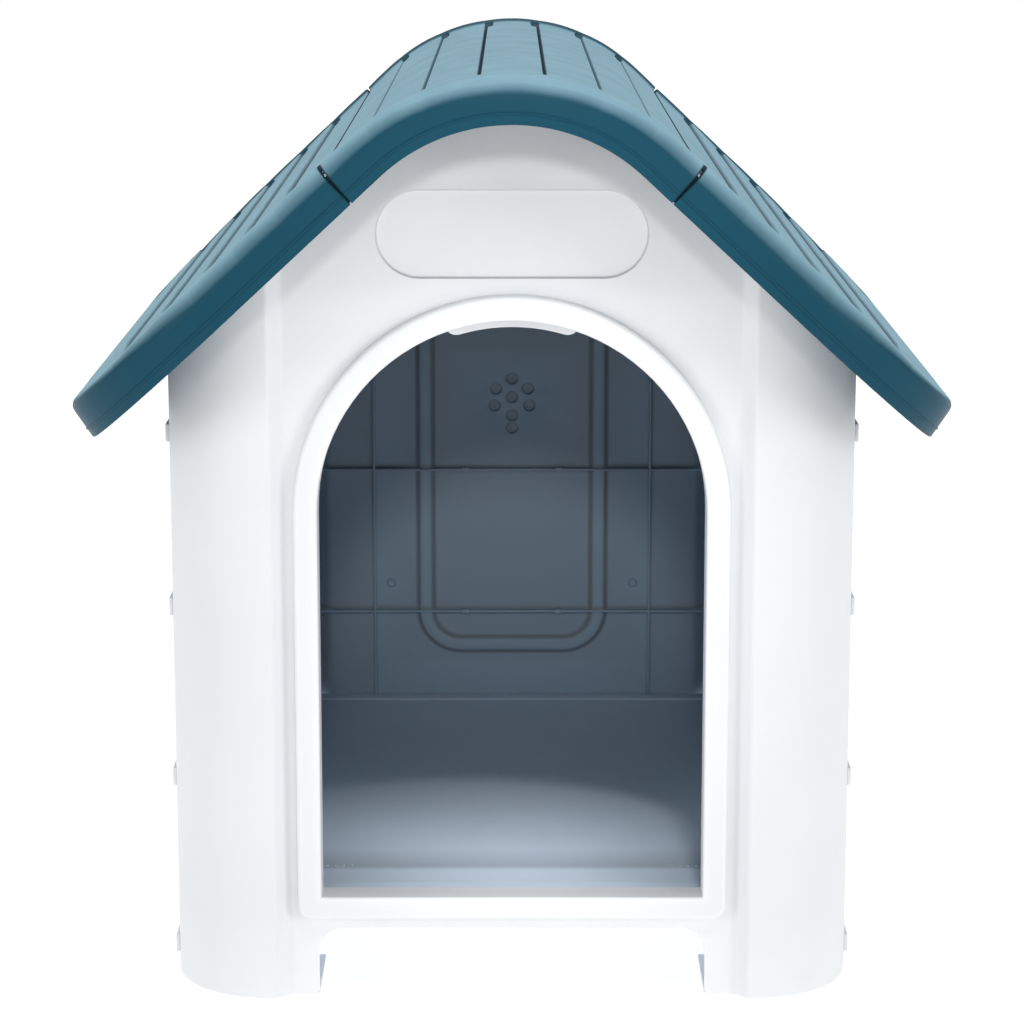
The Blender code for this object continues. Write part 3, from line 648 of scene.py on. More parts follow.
def plastic(name, base, indoor_shade, groups, roughness, grain, bump, dust_and_sheen, dust_and_sheen_colour, mottle, specular,
            planked=False):
    """Moulded polypropylene around one Principled shader: tone and grain, dust and a painted sheen on faces
    that look up, edge wear with a painted highlight, and painted shade indoors and in grooves.
    """
    material = bpy.data.materials.new(name + "_finish")
    material.use_nodes = True
    tree = material.node_tree
    shader = next(node for node in tree.nodes if node.type == "BSDF_PRINCIPLED")
    grains = use_group(tree, groups["grain"], Grain=grain, Mottle=mottle)
    film_and_sheen = use_group(tree, groups["dust_and_sheen"], Amount=dust_and_sheen)
    edges = use_group(tree, groups["wear_and_highlight"], Amount=0.45)
    tone = tint(tree, grains.outputs["Tone"], scaled(base, 0.93), scaled(base, 1.07))
    film_and_sheen = film_and_sheen.outputs["Mask"]
    if planked:
        planks = tree.nodes.new("ShaderNodeAttribute")
        planks.attribute_name = "planks"
        film_and_sheen = maths(tree, "MULTIPLY", film_and_sheen, planks.outputs["Fac"])
    tone = tint(tree, film_and_sheen, tone, dust_and_sheen_colour)
    # Lighter where the edge mark is: wear on edges, and a painted highlight on the roof's rolled edge.
    tone = tint(tree, edges.outputs["Mask"], tone, scaled(base, 1.25))
    # Painted shade: faces that look into the cabin are painted the darker indoor colour.
    if indoor_shade:
        room = use_group(tree, groups["indoor_shade"])
        tone = tint(tree, room.outputs["Mask"], tone, indoor_shade)
    # Painted shade: the groove mark darkens grooves, seams, dimples, the sides of ribs, the name panel's edge
    # and the floor round the drain holes.
    mark = tree.nodes.new("ShaderNodeAttribute")
    mark.attribute_name = "groove"
    tone = tint(tree, mark.outputs["Fac"], tone, scaled(base, 0.30))
    tree.links.new(tone, shader.inputs["Base Color"])
    rough = maths(tree, "ADD", maths(tree, "MULTIPLY", grains.outputs["Tone"], 0.14), roughness - 0.07)
    rough = maths(tree, "ADD", rough, maths(tree, "MULTIPLY", film_and_sheen, 0.2))
    tree.links.new(rough, shader.inputs["Roughness"])
    relief = tree.nodes.new("ShaderNodeBump")
    relief.inputs["Strength"].default_value = bump
    relief.inputs["Distance"].default_value = 0.0004
    tree.links.new(grains.outputs["Height"], relief.inputs["Height"])
    tree.links.new(relief.outputs["Normal"], shader.inputs["Normal"])
    shader.inputs["IOR"].default_value = 1.49
    shader.inputs["Specular IOR Level"].default_value = specular
    return material


class HUTCH_OT_finishes(bpy.types.Operator):
    """Make the moulded finishes of the walls, the floor and the roof"""
    bl_idname = "hutch.finishes"
    bl_label = "Finishes"

    def execute(self, context):
        colours = context.scene.hutch_colours
        groups = {"grain": grain_group(), "dust_and_sheen": dust_and_sheen_group(), "wear_and_highlight": wear_and_highlight_group(),
                  "indoor_shade": indoor_painted_shade_group()}
        wall, floor, roof = (tuple(c) for c in (colours.wall_white, colours.floor_white, colours.roof_teal))
        plastic("wall_white", wall, tuple(colours.indoor_painted_shade), groups, 0.46, 700.0, 0.10, 0.04,
                (0.60, 0.60, 0.60), 9.0, 0.4)
        plastic("floor_white", floor, None, groups, 0.40, 700.0, 0.12, 0.05, (0.55, 0.57, 0.60), 14.0, 0.3)
        # Painted sheen: the roof's upward faces take a strong pale film.
        plastic("roof_teal", roof, None, groups, 0.44, 620.0, 0.16, 0.85,
                tuple(colours.roof_painted_sheen), 13.0, 0.15, planked=True)
        return {"FINISHED"}


# ------------------------------------------------------------------ roof
class Roof:
    """The roof's surface: places on it are (run, y), with run measured along the planks' cross-section."""

    def __init__(self, sizes):
        self.sizes = sizes
        self.tangent_run = sizes.ridge_radius * sizes.pitch
        self.tangent_x = sizes.ridge_radius * math.sin(sizes.pitch)
        self.eave_run = self.run_at(sizes.eave_x)

    def run_at(self, x):
        """Distance along the cross-section from the ridge to a place x."""
        size = self.sizes
        x = np.asarray(x, float)
        lean = np.arcsin(np.clip(np.abs(x) / size.ridge_radius, 0, math.sin(size.pitch)))
        past = np.maximum(np.abs(x) - self.tangent_x, 0) / math.cos(size.pitch)
        return np.sign(x) * (size.ridge_radius * lean + past)

    def x_at(self, run):
        size = self.sizes
        near = np.minimum(np.abs(run), self.tangent_run)
        past = np.maximum(np.abs(run) - self.tangent_run, 0) * math.cos(size.pitch)
        return np.sign(run) * (size.ridge_radius * np.sin(near / size.ridge_radius) + past)

    def place(self, run, y, offset):
        """Points above the plank surface by offset, square to it."""
        size = self.sizes
        lean = np.clip(run / size.ridge_radius, -size.pitch, size.pitch)
        past = np.maximum(np.abs(run) - self.tangent_run, 0) * math.sin(size.pitch)
        z = size.ridge_height - size.ridge_radius * (1 - np.cos(lean)) - past
        return np.stack([self.x_at(run) + offset * np.sin(lean), y, z + offset * np.cos(lean)], axis=1)

    def gable_end(self, x):
        """Y of the roof's outline at x; it bows out towards the ridge and is round at the eaves."""
        size = self.sizes
        radius = size.corner_radius
        past = np.clip(np.abs(x) - (size.eave_x - radius), 0, radius)
        corner = radius - np.sqrt(np.maximum(radius ** 2 - past ** 2, 0))
        return HALF_LENGTH - size.gable_bow * (x / size.eave_x) ** 2 - corner

    def outer_lines(self, low_run, high_run):
        """The outline's outer edges from one run to another: each is a line with the roof on its left."""
        end_x = self.sizes.eave_x
        if high_run < self.eave_run - 1e-6:
            runs = np.linspace(low_run, high_run, 60)
            ends = self.gable_end(self.x_at(runs))
            front = list(zip(runs, -ends))
            rear = list(zip(runs[::-1], ends[::-1]))
            return [front, rear]
        straight = np.linspace(low_run, self.run_at(end_x - self.sizes.corner_radius), 50)[:-1]
        turn = np.linspace(0, math.pi / 2, 40)
        bend = self.run_at(end_x - self.sizes.corner_radius + self.sizes.corner_radius * np.sin(turn))
        runs = np.concatenate([straight, bend])
        ends = self.gable_end(self.x_at(runs))
        side = np.linspace(-ends[-1], ends[-1], 90)[1:-1]
        line = list(zip(runs, -ends)) + [(runs[-1], y) for y in side] + list(zip(runs[::-1], ends[::-1]))
        return [line]

    def lip(self, x, y):
        """How far the planks have risen towards a gable end; the rise fades out towards the eaves."""
        size = self.sizes
        inset = self.gable_end(x) - np.abs(y)
        reach = np.where(y < 0, size.front_lip_reach, size.rear_lip_reach)
        start = np.where(y < 0, size.roll_radius + 4 * MM, size.roll_radius - 3 * MM)
        along = eased((reach - inset) / (reach - start))
        return size.lip_rise * along * eased((size.eave_x - np.abs(x)) / size.corner_radius)

    def eave_share(self, x):
        """0 along the gables and 1 at the eaves, with a smooth change round the corners."""
        size = self.sizes
        return eased((np.abs(x) - size.eave_x + size.corner_radius) / size.corner_radius)

    def roll_at(self, x):
        """Radius of the rolled edge at x."""
        size = self.sizes
        return size.roll_radius + (size.eave_roll - size.roll_radius) * self.eave_share(x)

    def roll(self, away, x):
        """How far the top has rolled down at a distance in from the outline."""
        radius = self.roll_at(x)
        near = np.clip(radius - away, 0, radius)
        return np.sqrt(radius ** 2 - near ** 2) - radius

    def flared(self, run, share):
        """The run of a place on the fascia, which stands out towards its foot at the eaves."""
        return run + np.sign(run) * self.sizes.eave_flare * share * self.eave_share(self.x_at(run))


# ---- grooves between planks: place along X, distance in from the front
CAP_GROOVES = ((0.0220, 0.060), (0.0595, 0.060), (0.0935, 0.083))
SLOPE_GROOVES = ((0.1530, 0.107), (0.1810, 0.098), (0.2100, 0.092), (0.2390, 0.086), (0.2660, 0.080))
CAP_GROOVE_FADE, SLOPE_GROOVE_FADE = 2.5 * MM, 35 * MM     # how gently a groove starts
GROOVE_END = 8 * MM                                        # how far a groove runs into the rear rise
GROOVE_SHARES = (-1.0, -0.75, -0.5, -0.25, 0.0, 0.25, 0.5, 0.75, 1.0)
ROOF_INSETS = (0.8, 2.0, 3.6, 4.6, 5.0, 5.4, 7.0, 9.0, 11.5, 14.0, 16.5, 19.5, 23.0, 27.0, 32.0, 40.0,
               52.0, 66.0, 80.0, 95.0)                     # millimetres in from the outline
REAR_RIM = 19 * MM                                         # bare rim behind the planks at the rear


def groove_half(size, groove_x):
    """Half the width of a groove, which is wider on the slopes."""
    return (size.groove_width if abs(groove_x) < size.seam_x else size.slope_groove_width) / 2


def groove_relief(roof, run, y, groove_x, start, fade):
    """Depth, from 0 to 1, of one groove between planks, with its rear pocket."""
    size = roof.sizes
    x = roof.x_at(run)
    side = np.sign(groove_x)
    away = (run - roof.run_at(groove_x)) * side
    end = roof.gable_end(x)
    half = groove_half(size, groove_x)
    profile = eased((half - np.abs(away)) / (0.75 * half))
    from_front = end + y
    from_rear = end - y
    rear_stop = size.rear_lip_reach - GROOVE_END
    along = eased((from_front - start) / fade) * eased((from_rear - rear_stop) / (3 * MM))
    edge = 1.6 * MM
    taper = np.clip((from_rear - rear_stop) / size.pocket_length, 0, 1)
    wide = size.pocket_width * (1 - 0.25 * taper)
    pocket = eased((away + wide) / edge) * eased((half - away) / edge)
    pocket *= eased((from_rear - rear_stop) / (3 * MM)) * eased((1 - taper) * size.pocket_length / (4 * MM))
    return np.maximum(profile * along, pocket)


def roof_shell(roof, name, low_run, high_run, grooves, seams):
    """One shell of the roof between two runs, with its fascia, planks and seam edges."""
    size = roof.sizes
    outer = roof.outer_lines(low_run, high_run)
    outline = [point for line in outer for point in line]
    lines = []
    for line in outer:
        lines += [parallel(line, inset * MM, False) for inset in ROOF_INSETS]
    reach = HALF_LENGTH + 0.01
    runs = []
    for groove_x, _ in grooves:
        middle = float(roof.run_at(groove_x))
        half = groove_half(size, groove_x)
        runs += [middle + half * share for share in GROOVE_SHARES]
        inner = math.copysign(size.pocket_width, -groove_x)
        runs += [middle + inner * share for share in (0.6, 0.75, 0.9, 1.0)]
    for seam in seams:
        toward = math.copysign(1.0, (low_run + high_run) / 2 - seam)
        runs += [seam + toward * step * MM for step in (0.2, 0.5, 0.9, 1.5)]
    runs += list(np.arange(low_run, high_run, 5.5 * MM)[1:])
    lines += [[(run, -reach), (run, reach)] for run in runs]
    rows = list(np.arange(-0.30, 0.30, 0.02)) + list(np.arange(0.295, 0.372, 0.0035))
    lines += [[(low_run - 0.01, y), (high_run + 0.01, y)] for y in rows]
    net, triangles = flat_net(outline, (), lines)
    run, y = net.T
    x = roof.x_at(run)
    away = np.min([distance(net, line) for line in outer], axis=0)
    rise = roof.lip(x, y)
    skin_top = rise + roof.roll(away, x)
    depth = np.zeros(len(net))
    for groove_x, start in grooves:
        fade = CAP_GROOVE_FADE if abs(groove_x) < size.seam_x else SLOPE_GROOVE_FADE
        depth = np.maximum(depth, groove_relief(roof, run, y, groove_x, start, fade))
    seam_drop = np.zeros(len(net))
    for seam in seams:
        seam_drop += round_over(np.abs(run - seam), 0.9 * MM)
    edges = sorted([float(roof.run_at(g)) for g, _ in grooves] + list(seams) + [low_run, high_run])
    spans = np.clip(np.searchsorted(edges, run) - 1, 0, len(edges) - 2)
    low, high = np.take(edges, spans), np.take(edges, spans + 1)
    middle = 1 - (2 * (run - low) / np.maximum(high - low, 1e-6) - 1) ** 2
    crown = size.plank_crown * np.clip(middle, 0, 1)
    lap = np.zeros(len(net))
    rear_stop = size.rear_lip_reach - GROOVE_END
    for groove_x, start in grooves if len(seams) == 1 else ():
        first = float(roof.run_at(groove_x))
        last = min(edge for edge in edges if edge > first + MM)
        share = (run - first) / (last - first)
        end = roof.gable_end(x)
        along = eased((end + y - start) / SLOPE_GROOVE_FADE) * eased((end - y - rear_stop) / (3 * MM))
        lap += np.where((share > 0) & (share < 1), size.plank_lap * (1 - share) * along, 0.0)
    top = skin_top + crown + lap - depth * size.groove_depth - seam_drop
    under = np.minimum(rise - size.skin, skin_top - size.skin)
    bottom = -size.fascia_depth + round_over(away, 0.8 * MM) + round_over(size.fascia_wall - away, 0.8 * MM)
    wall = eased((away - size.fascia_wall) / (0.4 * MM))
    under = bottom * (1 - wall) + under * wall
    # Painted highlight: a light band along the roof's rolled edge, carried by the edge mark.
    crest_highlight = np.clip(1 - np.abs(away - 0.35 * size.roll_radius) / (0.3 * size.roll_radius), 0, 1)
    # Painted shade: the seam between shells is darkened, and so are the grooves through their depth.
    joint = np.zeros(len(net))
    for seam in seams:
        joint = np.maximum(joint, eased((1.2 * MM - np.abs(run - seam)) / (0.7 * MM)))
    # The painted sheen covers the planks and stops short of the bare rear rim.
    planks = np.where(y < 0.2, 1.0, eased((away - REAR_RIM) / (4 * MM)))
    marks = {"groove": np.maximum(depth, joint), "edge": 0.25 * crest_highlight, "planks": planks}
    under_run = roof.flared(run, 1 - wall)
    return sheet(name, triangles, roof.place(run, y, top), roof.place(under_run, y, under), "roof_teal",
                 marks)


class HUTCH_OT_roof_shells(bpy.types.Operator):
    """Build the ridge cap and the two roof slopes, planked and rolled over at their edges"""
    bl_idname = "hutch.roof_shells"
    bl_label = "Roof Shells"

    def execute(self, context):
        roof = Roof(context.scene.hutch_roof)
        seam = float(roof.run_at(roof.sizes.seam_x))
        cap, slope = seam - roof.sizes.seam_gap, seam + roof.sizes.seam_gap
        both = [(side * x, start) for side in (-1, 1) for x, start in CAP_GROOVES]
        piece = roof_shell(roof, "ridge_cap_shell", -cap, cap, both, (-cap, cap))
        settle(piece, ROOF, "roof_teal", "roof_ridge_cap")
        eave = float(roof.eave_run)
        piece = roof_shell(roof, "roof_slope_right_shell", slope, eave, SLOPE_GROOVES, (slope,))
        settle(piece, ROOF, "roof_teal", "roof_slope_right")
        other = mirror_copy(piece, "roof_slope_left_shell")
        settle(other, ROOF, "roof_teal", "roof_slope_left")
        return {"FINISHED"}


def mirror_copy(piece, name):
    """A copy mirrored in X, with its faces turned out again."""
    mesh = piece.data.copy()
    mesh.name = name
    for vertex in mesh.vertices:
        vertex.co.x = -vertex.co.x
    mesh.flip_normals()
    obj = bpy.data.objects.new(name, mesh)
    bpy.context.scene.collection.objects.link(obj)
    return obj


class HUTCH_OT_fascia_bead(bpy.types.Operator):
    """Run the thin bead along the fascia of every roof shell"""
    bl_idname = "hutch.fascia_bead"
    bl_label = "Fascia Bead"

    def execute(self, context):
        roof = Roof(context.scene.hutch_roof)
        size = roof.sizes
        seam = float(roof.run_at(size.seam_x))
        cap, slope = seam - size.seam_gap - 0.5 * MM, seam + size.seam_gap + 0.5 * MM
        lines = roof.outer_lines(-cap, cap)
        right = roof.outer_lines(slope, float(roof.eave_run))[0]
        lines += [right, [(-run, y) for run, y in reversed(right)]]
        bm = bmesh.new()
        for line in lines:
            place = np.asarray(line, float)
            radius = roof.roll_at(roof.x_at(place[:, 0]))
            share = (size.bead_depth - radius) / (size.fascia_depth - radius)
            runs = roof.flared(place[:, 0], share)
            points = roof.place(runs, place[:, 1], np.full(len(place), -size.bead_depth))
            made = [bm.verts.new(p) for p in points]
            for first, second in zip(made, made[1:]):
                bm.edges.new((first, second))
        mesh = bpy.data.meshes.new("fascia_bead")
        bm.to_mesh(mesh)
        bm.free()
        obj = bpy.data.objects.new("fascia_bead", mesh)
        context.scene.collection.objects.link(obj)
        run_tree(obj, bead_tree(), {"Radius": size.bead_radius, "Sides": 8,
                                    "Material": finish("roof_teal")})
        settle(obj, ROOF, "roof_teal")
        return {"FINISHED"}


def rib_between(bm, roof, x_from, x_to, low_y, high_y, upper, lower):
    """Adds a strip that follows the underside of the roof between two offsets below the planks."""
    runs = np.linspace(float(roof.run_at(x_from)), float(roof.run_at(x_to)), 24)
    flat = np.zeros(len(runs))
    top = roof.place(runs, flat, flat - upper)
    bottom = roof.place(runs, flat, flat - lower)[::-1]
    outline = [(p[0], p[2]) for p in np.vstack([top, bottom])]
    prism(bm, outline, low_y, high_y, lambda a, b, c: (a, c, b))


class HUTCH_OT_roof_ribs(bpy.types.Operator):
    """Build the locating ribs and the tongues under the roof"""
    bl_idname = "hutch.roof_ribs"
    bl_label = "Roof Ribs"

    def execute(self, context):
        roof = Roof(context.scene.hutch_roof)
        size, walls = roof.sizes, context.scene.hutch_walls
        inner = -COLUMN_FACE_Y - walls.panel_recess - walls.wall - 0.8 * MM
        skin = size.skin - 0.6 * MM
        drop = size.skin + size.rib_drop
        bm = bmesh.new()
        for low_y in (-inner, inner - size.rib_wall):
            reach = size.seam_x - 18 * MM
            rib_between(bm, roof, -reach, reach, low_y, low_y + size.rib_wall, skin, drop)
            for side in (-1, 1):
                places = sorted((side * (size.seam_x + 12 * MM), side * walls.column_face_x))
                rib_between(bm, roof, *places, low_y, low_y + size.rib_wall, skin, drop)
        reach = inner - size.rib_wall - 4 * MM
        for side in (-1, 1):
            places = sorted((side * (size.seam_x - 14 * MM), side * (size.seam_x + 8 * MM)))
            rib_between(bm, roof, *places, -reach, reach, size.skin + 0.3 * MM, size.skin + 3.3 * MM)
        wide = 8 * MM
        back = float(roof.gable_end(size.seam_x)) - size.fascia_wall - 0.6 * MM
        for side in (-1, 1):
            places = sorted((side * (size.seam_x - wide), side * (size.seam_x + wide)))
            for low_y in (-back, back - 2 * MM):
                rib_between(bm, roof, *places, low_y, low_y + 2 * MM, size.skin + 0.3 * MM,
                            size.fascia_depth - 1 * MM)
        obj = from_bmesh("roof_locating_ribs", bm, "roof_teal")
        settle(obj, ROOF, "roof_teal")
        return {"FINISHED"}


# ------------------------------------------------------------------ end panels
class EndWall:
    """The front panel's line seen from above, unrolled: u is 0 in the middle and follows the outside."""

    def __init__(self, walls, roof):
        self.walls, self.roof = walls, roof
        panel_y = COLUMN_FACE_Y + walls.panel_recess
        in_x = walls.column_face_x - walls.step_x
        corners = [((0.0, panel_y), 0.0), ((in_x, panel_y), 5 * MM),
                   ((walls.column_face_x, COLUMN_FACE_Y), 4.5 * MM),
                   ((SIDE_FACE, COLUMN_FACE_Y), SIDE_FACE - walls.column_face_x - 2 * MM),
                   ((SIDE_FACE, COLUMN_EDGE_Y), 0.0)]
        half = np.array(filleted(corners))
        steps = np.hypot(*np.diff(half, axis=0).T)
        half_u = np.concatenate([[0.0], np.cumsum(steps)])
        tangent = np.gradient(half, half_u, axis=0)
        tangent[0] = (1.0, 0.0)
        tangent[-1] = (0.0, 1.0)
        normal = np.stack([tangent[:, 1], -tangent[:, 0]], axis=1)
        normal /= np.linalg.norm(normal, axis=1)[:, None]
        self.end = half_u[-1]
        self.bends = list(half_u[1:-1])
        flip = np.array([-1.0, 1.0])
        self.u = np.concatenate([-half_u[:0:-1], half_u])
        self.xy = np.vstack([(half * flip)[:0:-1], half])
        self.normal = np.vstack([(normal * flip)[:0:-1], normal])

    def x_at(self, u):
        return np.interp(u, self.u, self.xy[:, 0])

    def place(self, u, z, depth):
        """Points behind the outside of the wall by depth."""
        x, y = (np.interp(u, self.u, self.xy[:, i]) for i in (0, 1))
        nx, ny = (np.interp(u, self.u, self.normal[:, i]) for i in (0, 1))
        size = np.hypot(nx, ny)
        return np.stack([x - depth * nx / size, y - depth * ny / size, z], axis=1)

    def top(self, u):
        """Height of the wall under the roof's skin."""
        size = self.roof.sizes
        drop = size.skin + self.walls.roof_seat
        x = np.abs(self.x_at(u))
        radius = size.ridge_radius - drop
        near = size.ridge_height - size.ridge_radius + np.sqrt(np.maximum(radius ** 2 - x ** 2, 0))
        tangent_z = size.ridge_height - size.ridge_radius * (1 - math.cos(size.pitch))
        far = tangent_z - (x - self.roof.tangent_x) * math.tan(size.pitch) - drop / math.cos(size.pitch)
        return np.where(x <= radius * math.sin(size.pitch), near, far)

    def outline(self):
        walls = self.walls
        radius, corner = walls.undercut_radius, walls.foot_corner
        inner = walls.foot_inner_x
        half = [(0.0, walls.undercut_top)]
        half += arc((inner - radius, walls.undercut_top - radius), radius, math.pi / 2, 0.0)
        half += arc((inner + corner, corner), corner, math.pi, 1.5 * math.pi)
        half += [(self.end, 0.0)]
        places = np.linspace(self.end, 0.0, 90)
        half += list(zip(places, self.top(places)))
        return mirrored([(float(u), float(v)) for u, v in half])


def door_ring(walls, grow, corner=0.0, step=4 * DEGREE):
    """The doorway's outline, grown by a distance: straight sides and a half-round head."""
    half = walls.door_half + grow
    bottom = walls.sill_top - grow
    arch_z = walls.door_crown - walls.door_half
    corner = max(corner, 0.2 * MM)
    right = arc((half - corner, bottom + corner), corner, -math.pi / 2, 0.0, 15 * DEGREE)
    left = [(-x, z) for x, z in reversed(right)]
    sides = list(np.linspace(bottom + corner, arch_z, 12)[1:-1])
    rise = [(half, z) for z in sides]
    fall = [(-half, z) for z in reversed(sides)]
    return right + rise + arc((0.0, arch_z), half, 0.0, math.pi, step) + fall + left


def edge_lines(rings, radius):
    """Lines just inside the given rings, where their rounded edges bend."""
    return [closed_line(parallel(ring, share * radius, True))
            for ring in rings for share in (0.12, 0.4, 0.7, 1.0)]


def edge_distance(net, rings):
    return np.min([distance(net, closed_line(ring)) for ring in rings], axis=0)


def u_line(walls):
    """Middle line of the U bead, down one leg and up the other."""
    half, radius = walls.bead_half, walls.bead_corner
    low = walls.bead_bottom
    return ([(-half, walls.bead_top)] + arc((-half + radius, low + radius), radius, math.pi, 1.5 * math.pi)
            + arc((half - radius, low + radius), radius, -math.pi / 2, 0.0) + [(half, walls.bead_top)])


DIMPLES = ((0.0, 0.3517), (-0.0138, 0.3431), (0.0138, 0.3431), (0.0, 0.3357),
           (-0.0150, 0.3284), (0.0150, 0.3284), (0.0, 0.3197), (0.0, 0.3088))
BOSSES = ((-0.1045, 0.1722), (0.1045, 0.1722))
BOSS_RADIUS = 0.0045
BEAD_SHARES = (-1.1, -1, -.85, -.7, -.55, -.4, 0, .4, .55, .7, .85, 1, 1.1)


def end_panel(wall, name, front):
    """The front or the rear panel as one closed sheet with its relief."""
    walls = wall.walls
    outline = wall.outline()
    holes = []
    if front:
        holes.append(door_ring(walls, walls.surround_neck + 0.3 * MM)[::-1])
    radius = walls.edge_round
    lines = edge_lines([outline] + holes, radius)
    lines += [[(side * u, -0.01), (side * u, 0.7)] for u in wall.bends for side in (-1, 1)]
    lines += [[(-wall.end - 0.01, z), (wall.end + 0.01, z)] for z in np.arange(0.06, 0.64, 0.04)]
    pill = rounded_box((-walls.name_half, walls.name_height - walls.name_radius),
                       (walls.name_half, walls.name_height + walls.name_radius), walls.name_radius - 0.1 * MM,
                       4 * DEGREE)
    if front:
        lines += [closed_line(parallel(pill, step * MM, True)) for step in (-0.3, 0.0, 0.4, 0.8, 1.2, 1.6)]
    spine = u_line(walls)
    half = walls.bead_width / 2
    if not front:
        lines += [parallel(spine, share * half, False) for share in BEAD_SHARES]
        for spot in DIMPLES:
            lines += [closed_line(arc(spot, walls.dimple_radius * share, 0, 2 * math.pi, 12 * DEGREE)[:-1])
                      for share in (0.78, 0.86, 0.94, 1.0, 1.08)]
        for height in (walls.stiffener_low, walls.stiffener_high):
            lines += [[(-wall.end, height + step * MM), (wall.end, height + step * MM)]
                      for step in (-1, 1, 2.4, 4, 5.5)]
        for side in (-1, 1):
            places = [side * walls.stiffener_x + step * MM for step in (-2.4, -1.2, 0, 1.2, 2.4, 6)]
            lines += [[(place, -0.01), (place, 0.7)] for place in places]
        for spot in BOSSES:
            lines += [closed_line(arc(spot, BOSS_RADIUS * share, 0, 2 * math.pi, 15 * DEGREE)[:-1])
                      for share in (0.35, 0.7, 0.85, 1.0)]
    net, triangles = flat_net(outline, holes, lines)
    u, z = net.T
    away = edge_distance(net, [outline] + holes)
    rounding = round_over(away, radius)
    depth = rounding.copy()
    back = walls.wall - rounding
    # Painted shade on the inner face: beside the U bead, above and beside the stiffeners, beyond the uprights
    # and in the dimples.
    painted_shade = np.zeros(len(net))
    step = np.zeros(len(net))
    if front:
        within = np.where(inside(net, pill), 1, -1) * distance(net, closed_line(pill))
        depth += walls.name_depth * eased(within / (1.4 * MM))
        # Painted shade: a dark ring just inside the edge of the recessed name panel.
        step = 0.45 * eased(1 - np.abs(within - 0.6 * MM) / (1.2 * MM))
    else:
        from_spine = distance(net, spine)
        back += walls.bead_rise * eased((half - from_spine) / (0.55 * half))
        painted_shade = 0.75 * eased(1 - np.abs(from_spine - 0.78 * half) / (0.5 * half))
        painted_shade = np.maximum(painted_shade, 0.25 * eased((np.abs(u) - walls.stiffener_x) / (6 * MM)))
        for height in (walls.stiffener_low, walls.stiffener_high):
            painted_shade = np.maximum(painted_shade, 0.75 * eased(1 - np.abs(z - height - 2.4 * MM) / (3 * MM)))
        from_rib = np.abs(np.abs(u) - walls.stiffener_x)
        painted_shade = np.maximum(painted_shade, 0.5 * eased(1 - from_rib / (2.4 * MM)))
        for spot in DIMPLES:
            gap = np.hypot(u - spot[0], z - spot[1])
            sunk = eased((1.04 * walls.dimple_radius - gap) / (0.22 * walls.dimple_radius))
            back -= walls.dimple_depth * sunk
            painted_shade = np.maximum(painted_shade, 0.4 * sunk)
        for spot in BOSSES:
            gap = np.hypot(u - spot[0], z - spot[1])
            back += 1.6 * MM * eased((BOSS_RADIUS - gap) / (0.3 * BOSS_RADIUS))
            back -= 1.2 * MM * eased((0.7 * BOSS_RADIUS - gap) / (0.3 * BOSS_RADIUS))
    outer, inner = wall.place(u, z, depth), wall.place(u, z, back)
    if not front:
        outer, inner = turned(outer), turned(inner)
    marks = {"edge": np.clip(1 - away / (2.5 * radius), 0, 1), "groove": step}
    return sheet(name, triangles, outer, inner, "wall_white", marks, {"groove": painted_shade})


class HUTCH_OT_front_panel(bpy.types.Operator):
    """Build the front panel with its corner columns, doorway and blank name panel"""
    bl_idname = "hutch.front_panel"
    bl_label = "Front Panel"

    def execute(self, context):
        wall = EndWall(context.scene.hutch_walls, Roof(context.scene.hutch_roof))
        settle(end_panel(wall, "front_panel_shell", True), HOUSE, "wall_white", "front_panel")
        return {"FINISHED"}


class HUTCH_OT_rear_panel(bpy.types.Operator):
    """Build the rear panel with its U bead, dimples and bosses"""
    bl_idname = "hutch.rear_panel"
    bl_label = "Rear Panel"

    def execute(self, context):
        wall = EndWall(context.scene.hutch_walls, Roof(context.scene.hutch_roof))
        settle(end_panel(wall, "rear_panel_shell", False), HOUSE, "wall_white", "rear_panel")
        return {"FINISHED"}


# ------------------------------------------------------------------ side panels
SLOTS = (3, 0.060, 0.007, 0.016, 0.060)     # count, length, height, pitch, top of the wall to the first
FIELD = (0.168, 0.095, 0.028, 0.022)        # half length, bottom, below the top of the wall, corner radius
FIELD_DEPTH = 1.2 * MM


def side_outline(walls):
    half_y = -COLUMN_EDGE_Y - 0.3 * MM
    reach, radius = walls.side_undercut_y, walls.undercut_radius
    half = [(0.0, walls.undercut_top)]
    half += arc((reach - radius, walls.undercut_top - radius), radius, math.pi / 2, 0.0)
    half += [(reach, 0.0), (half_y, 0.0), (half_y, SIDE_TOP), (0.0, SIDE_TOP)]
    return mirrored(half)


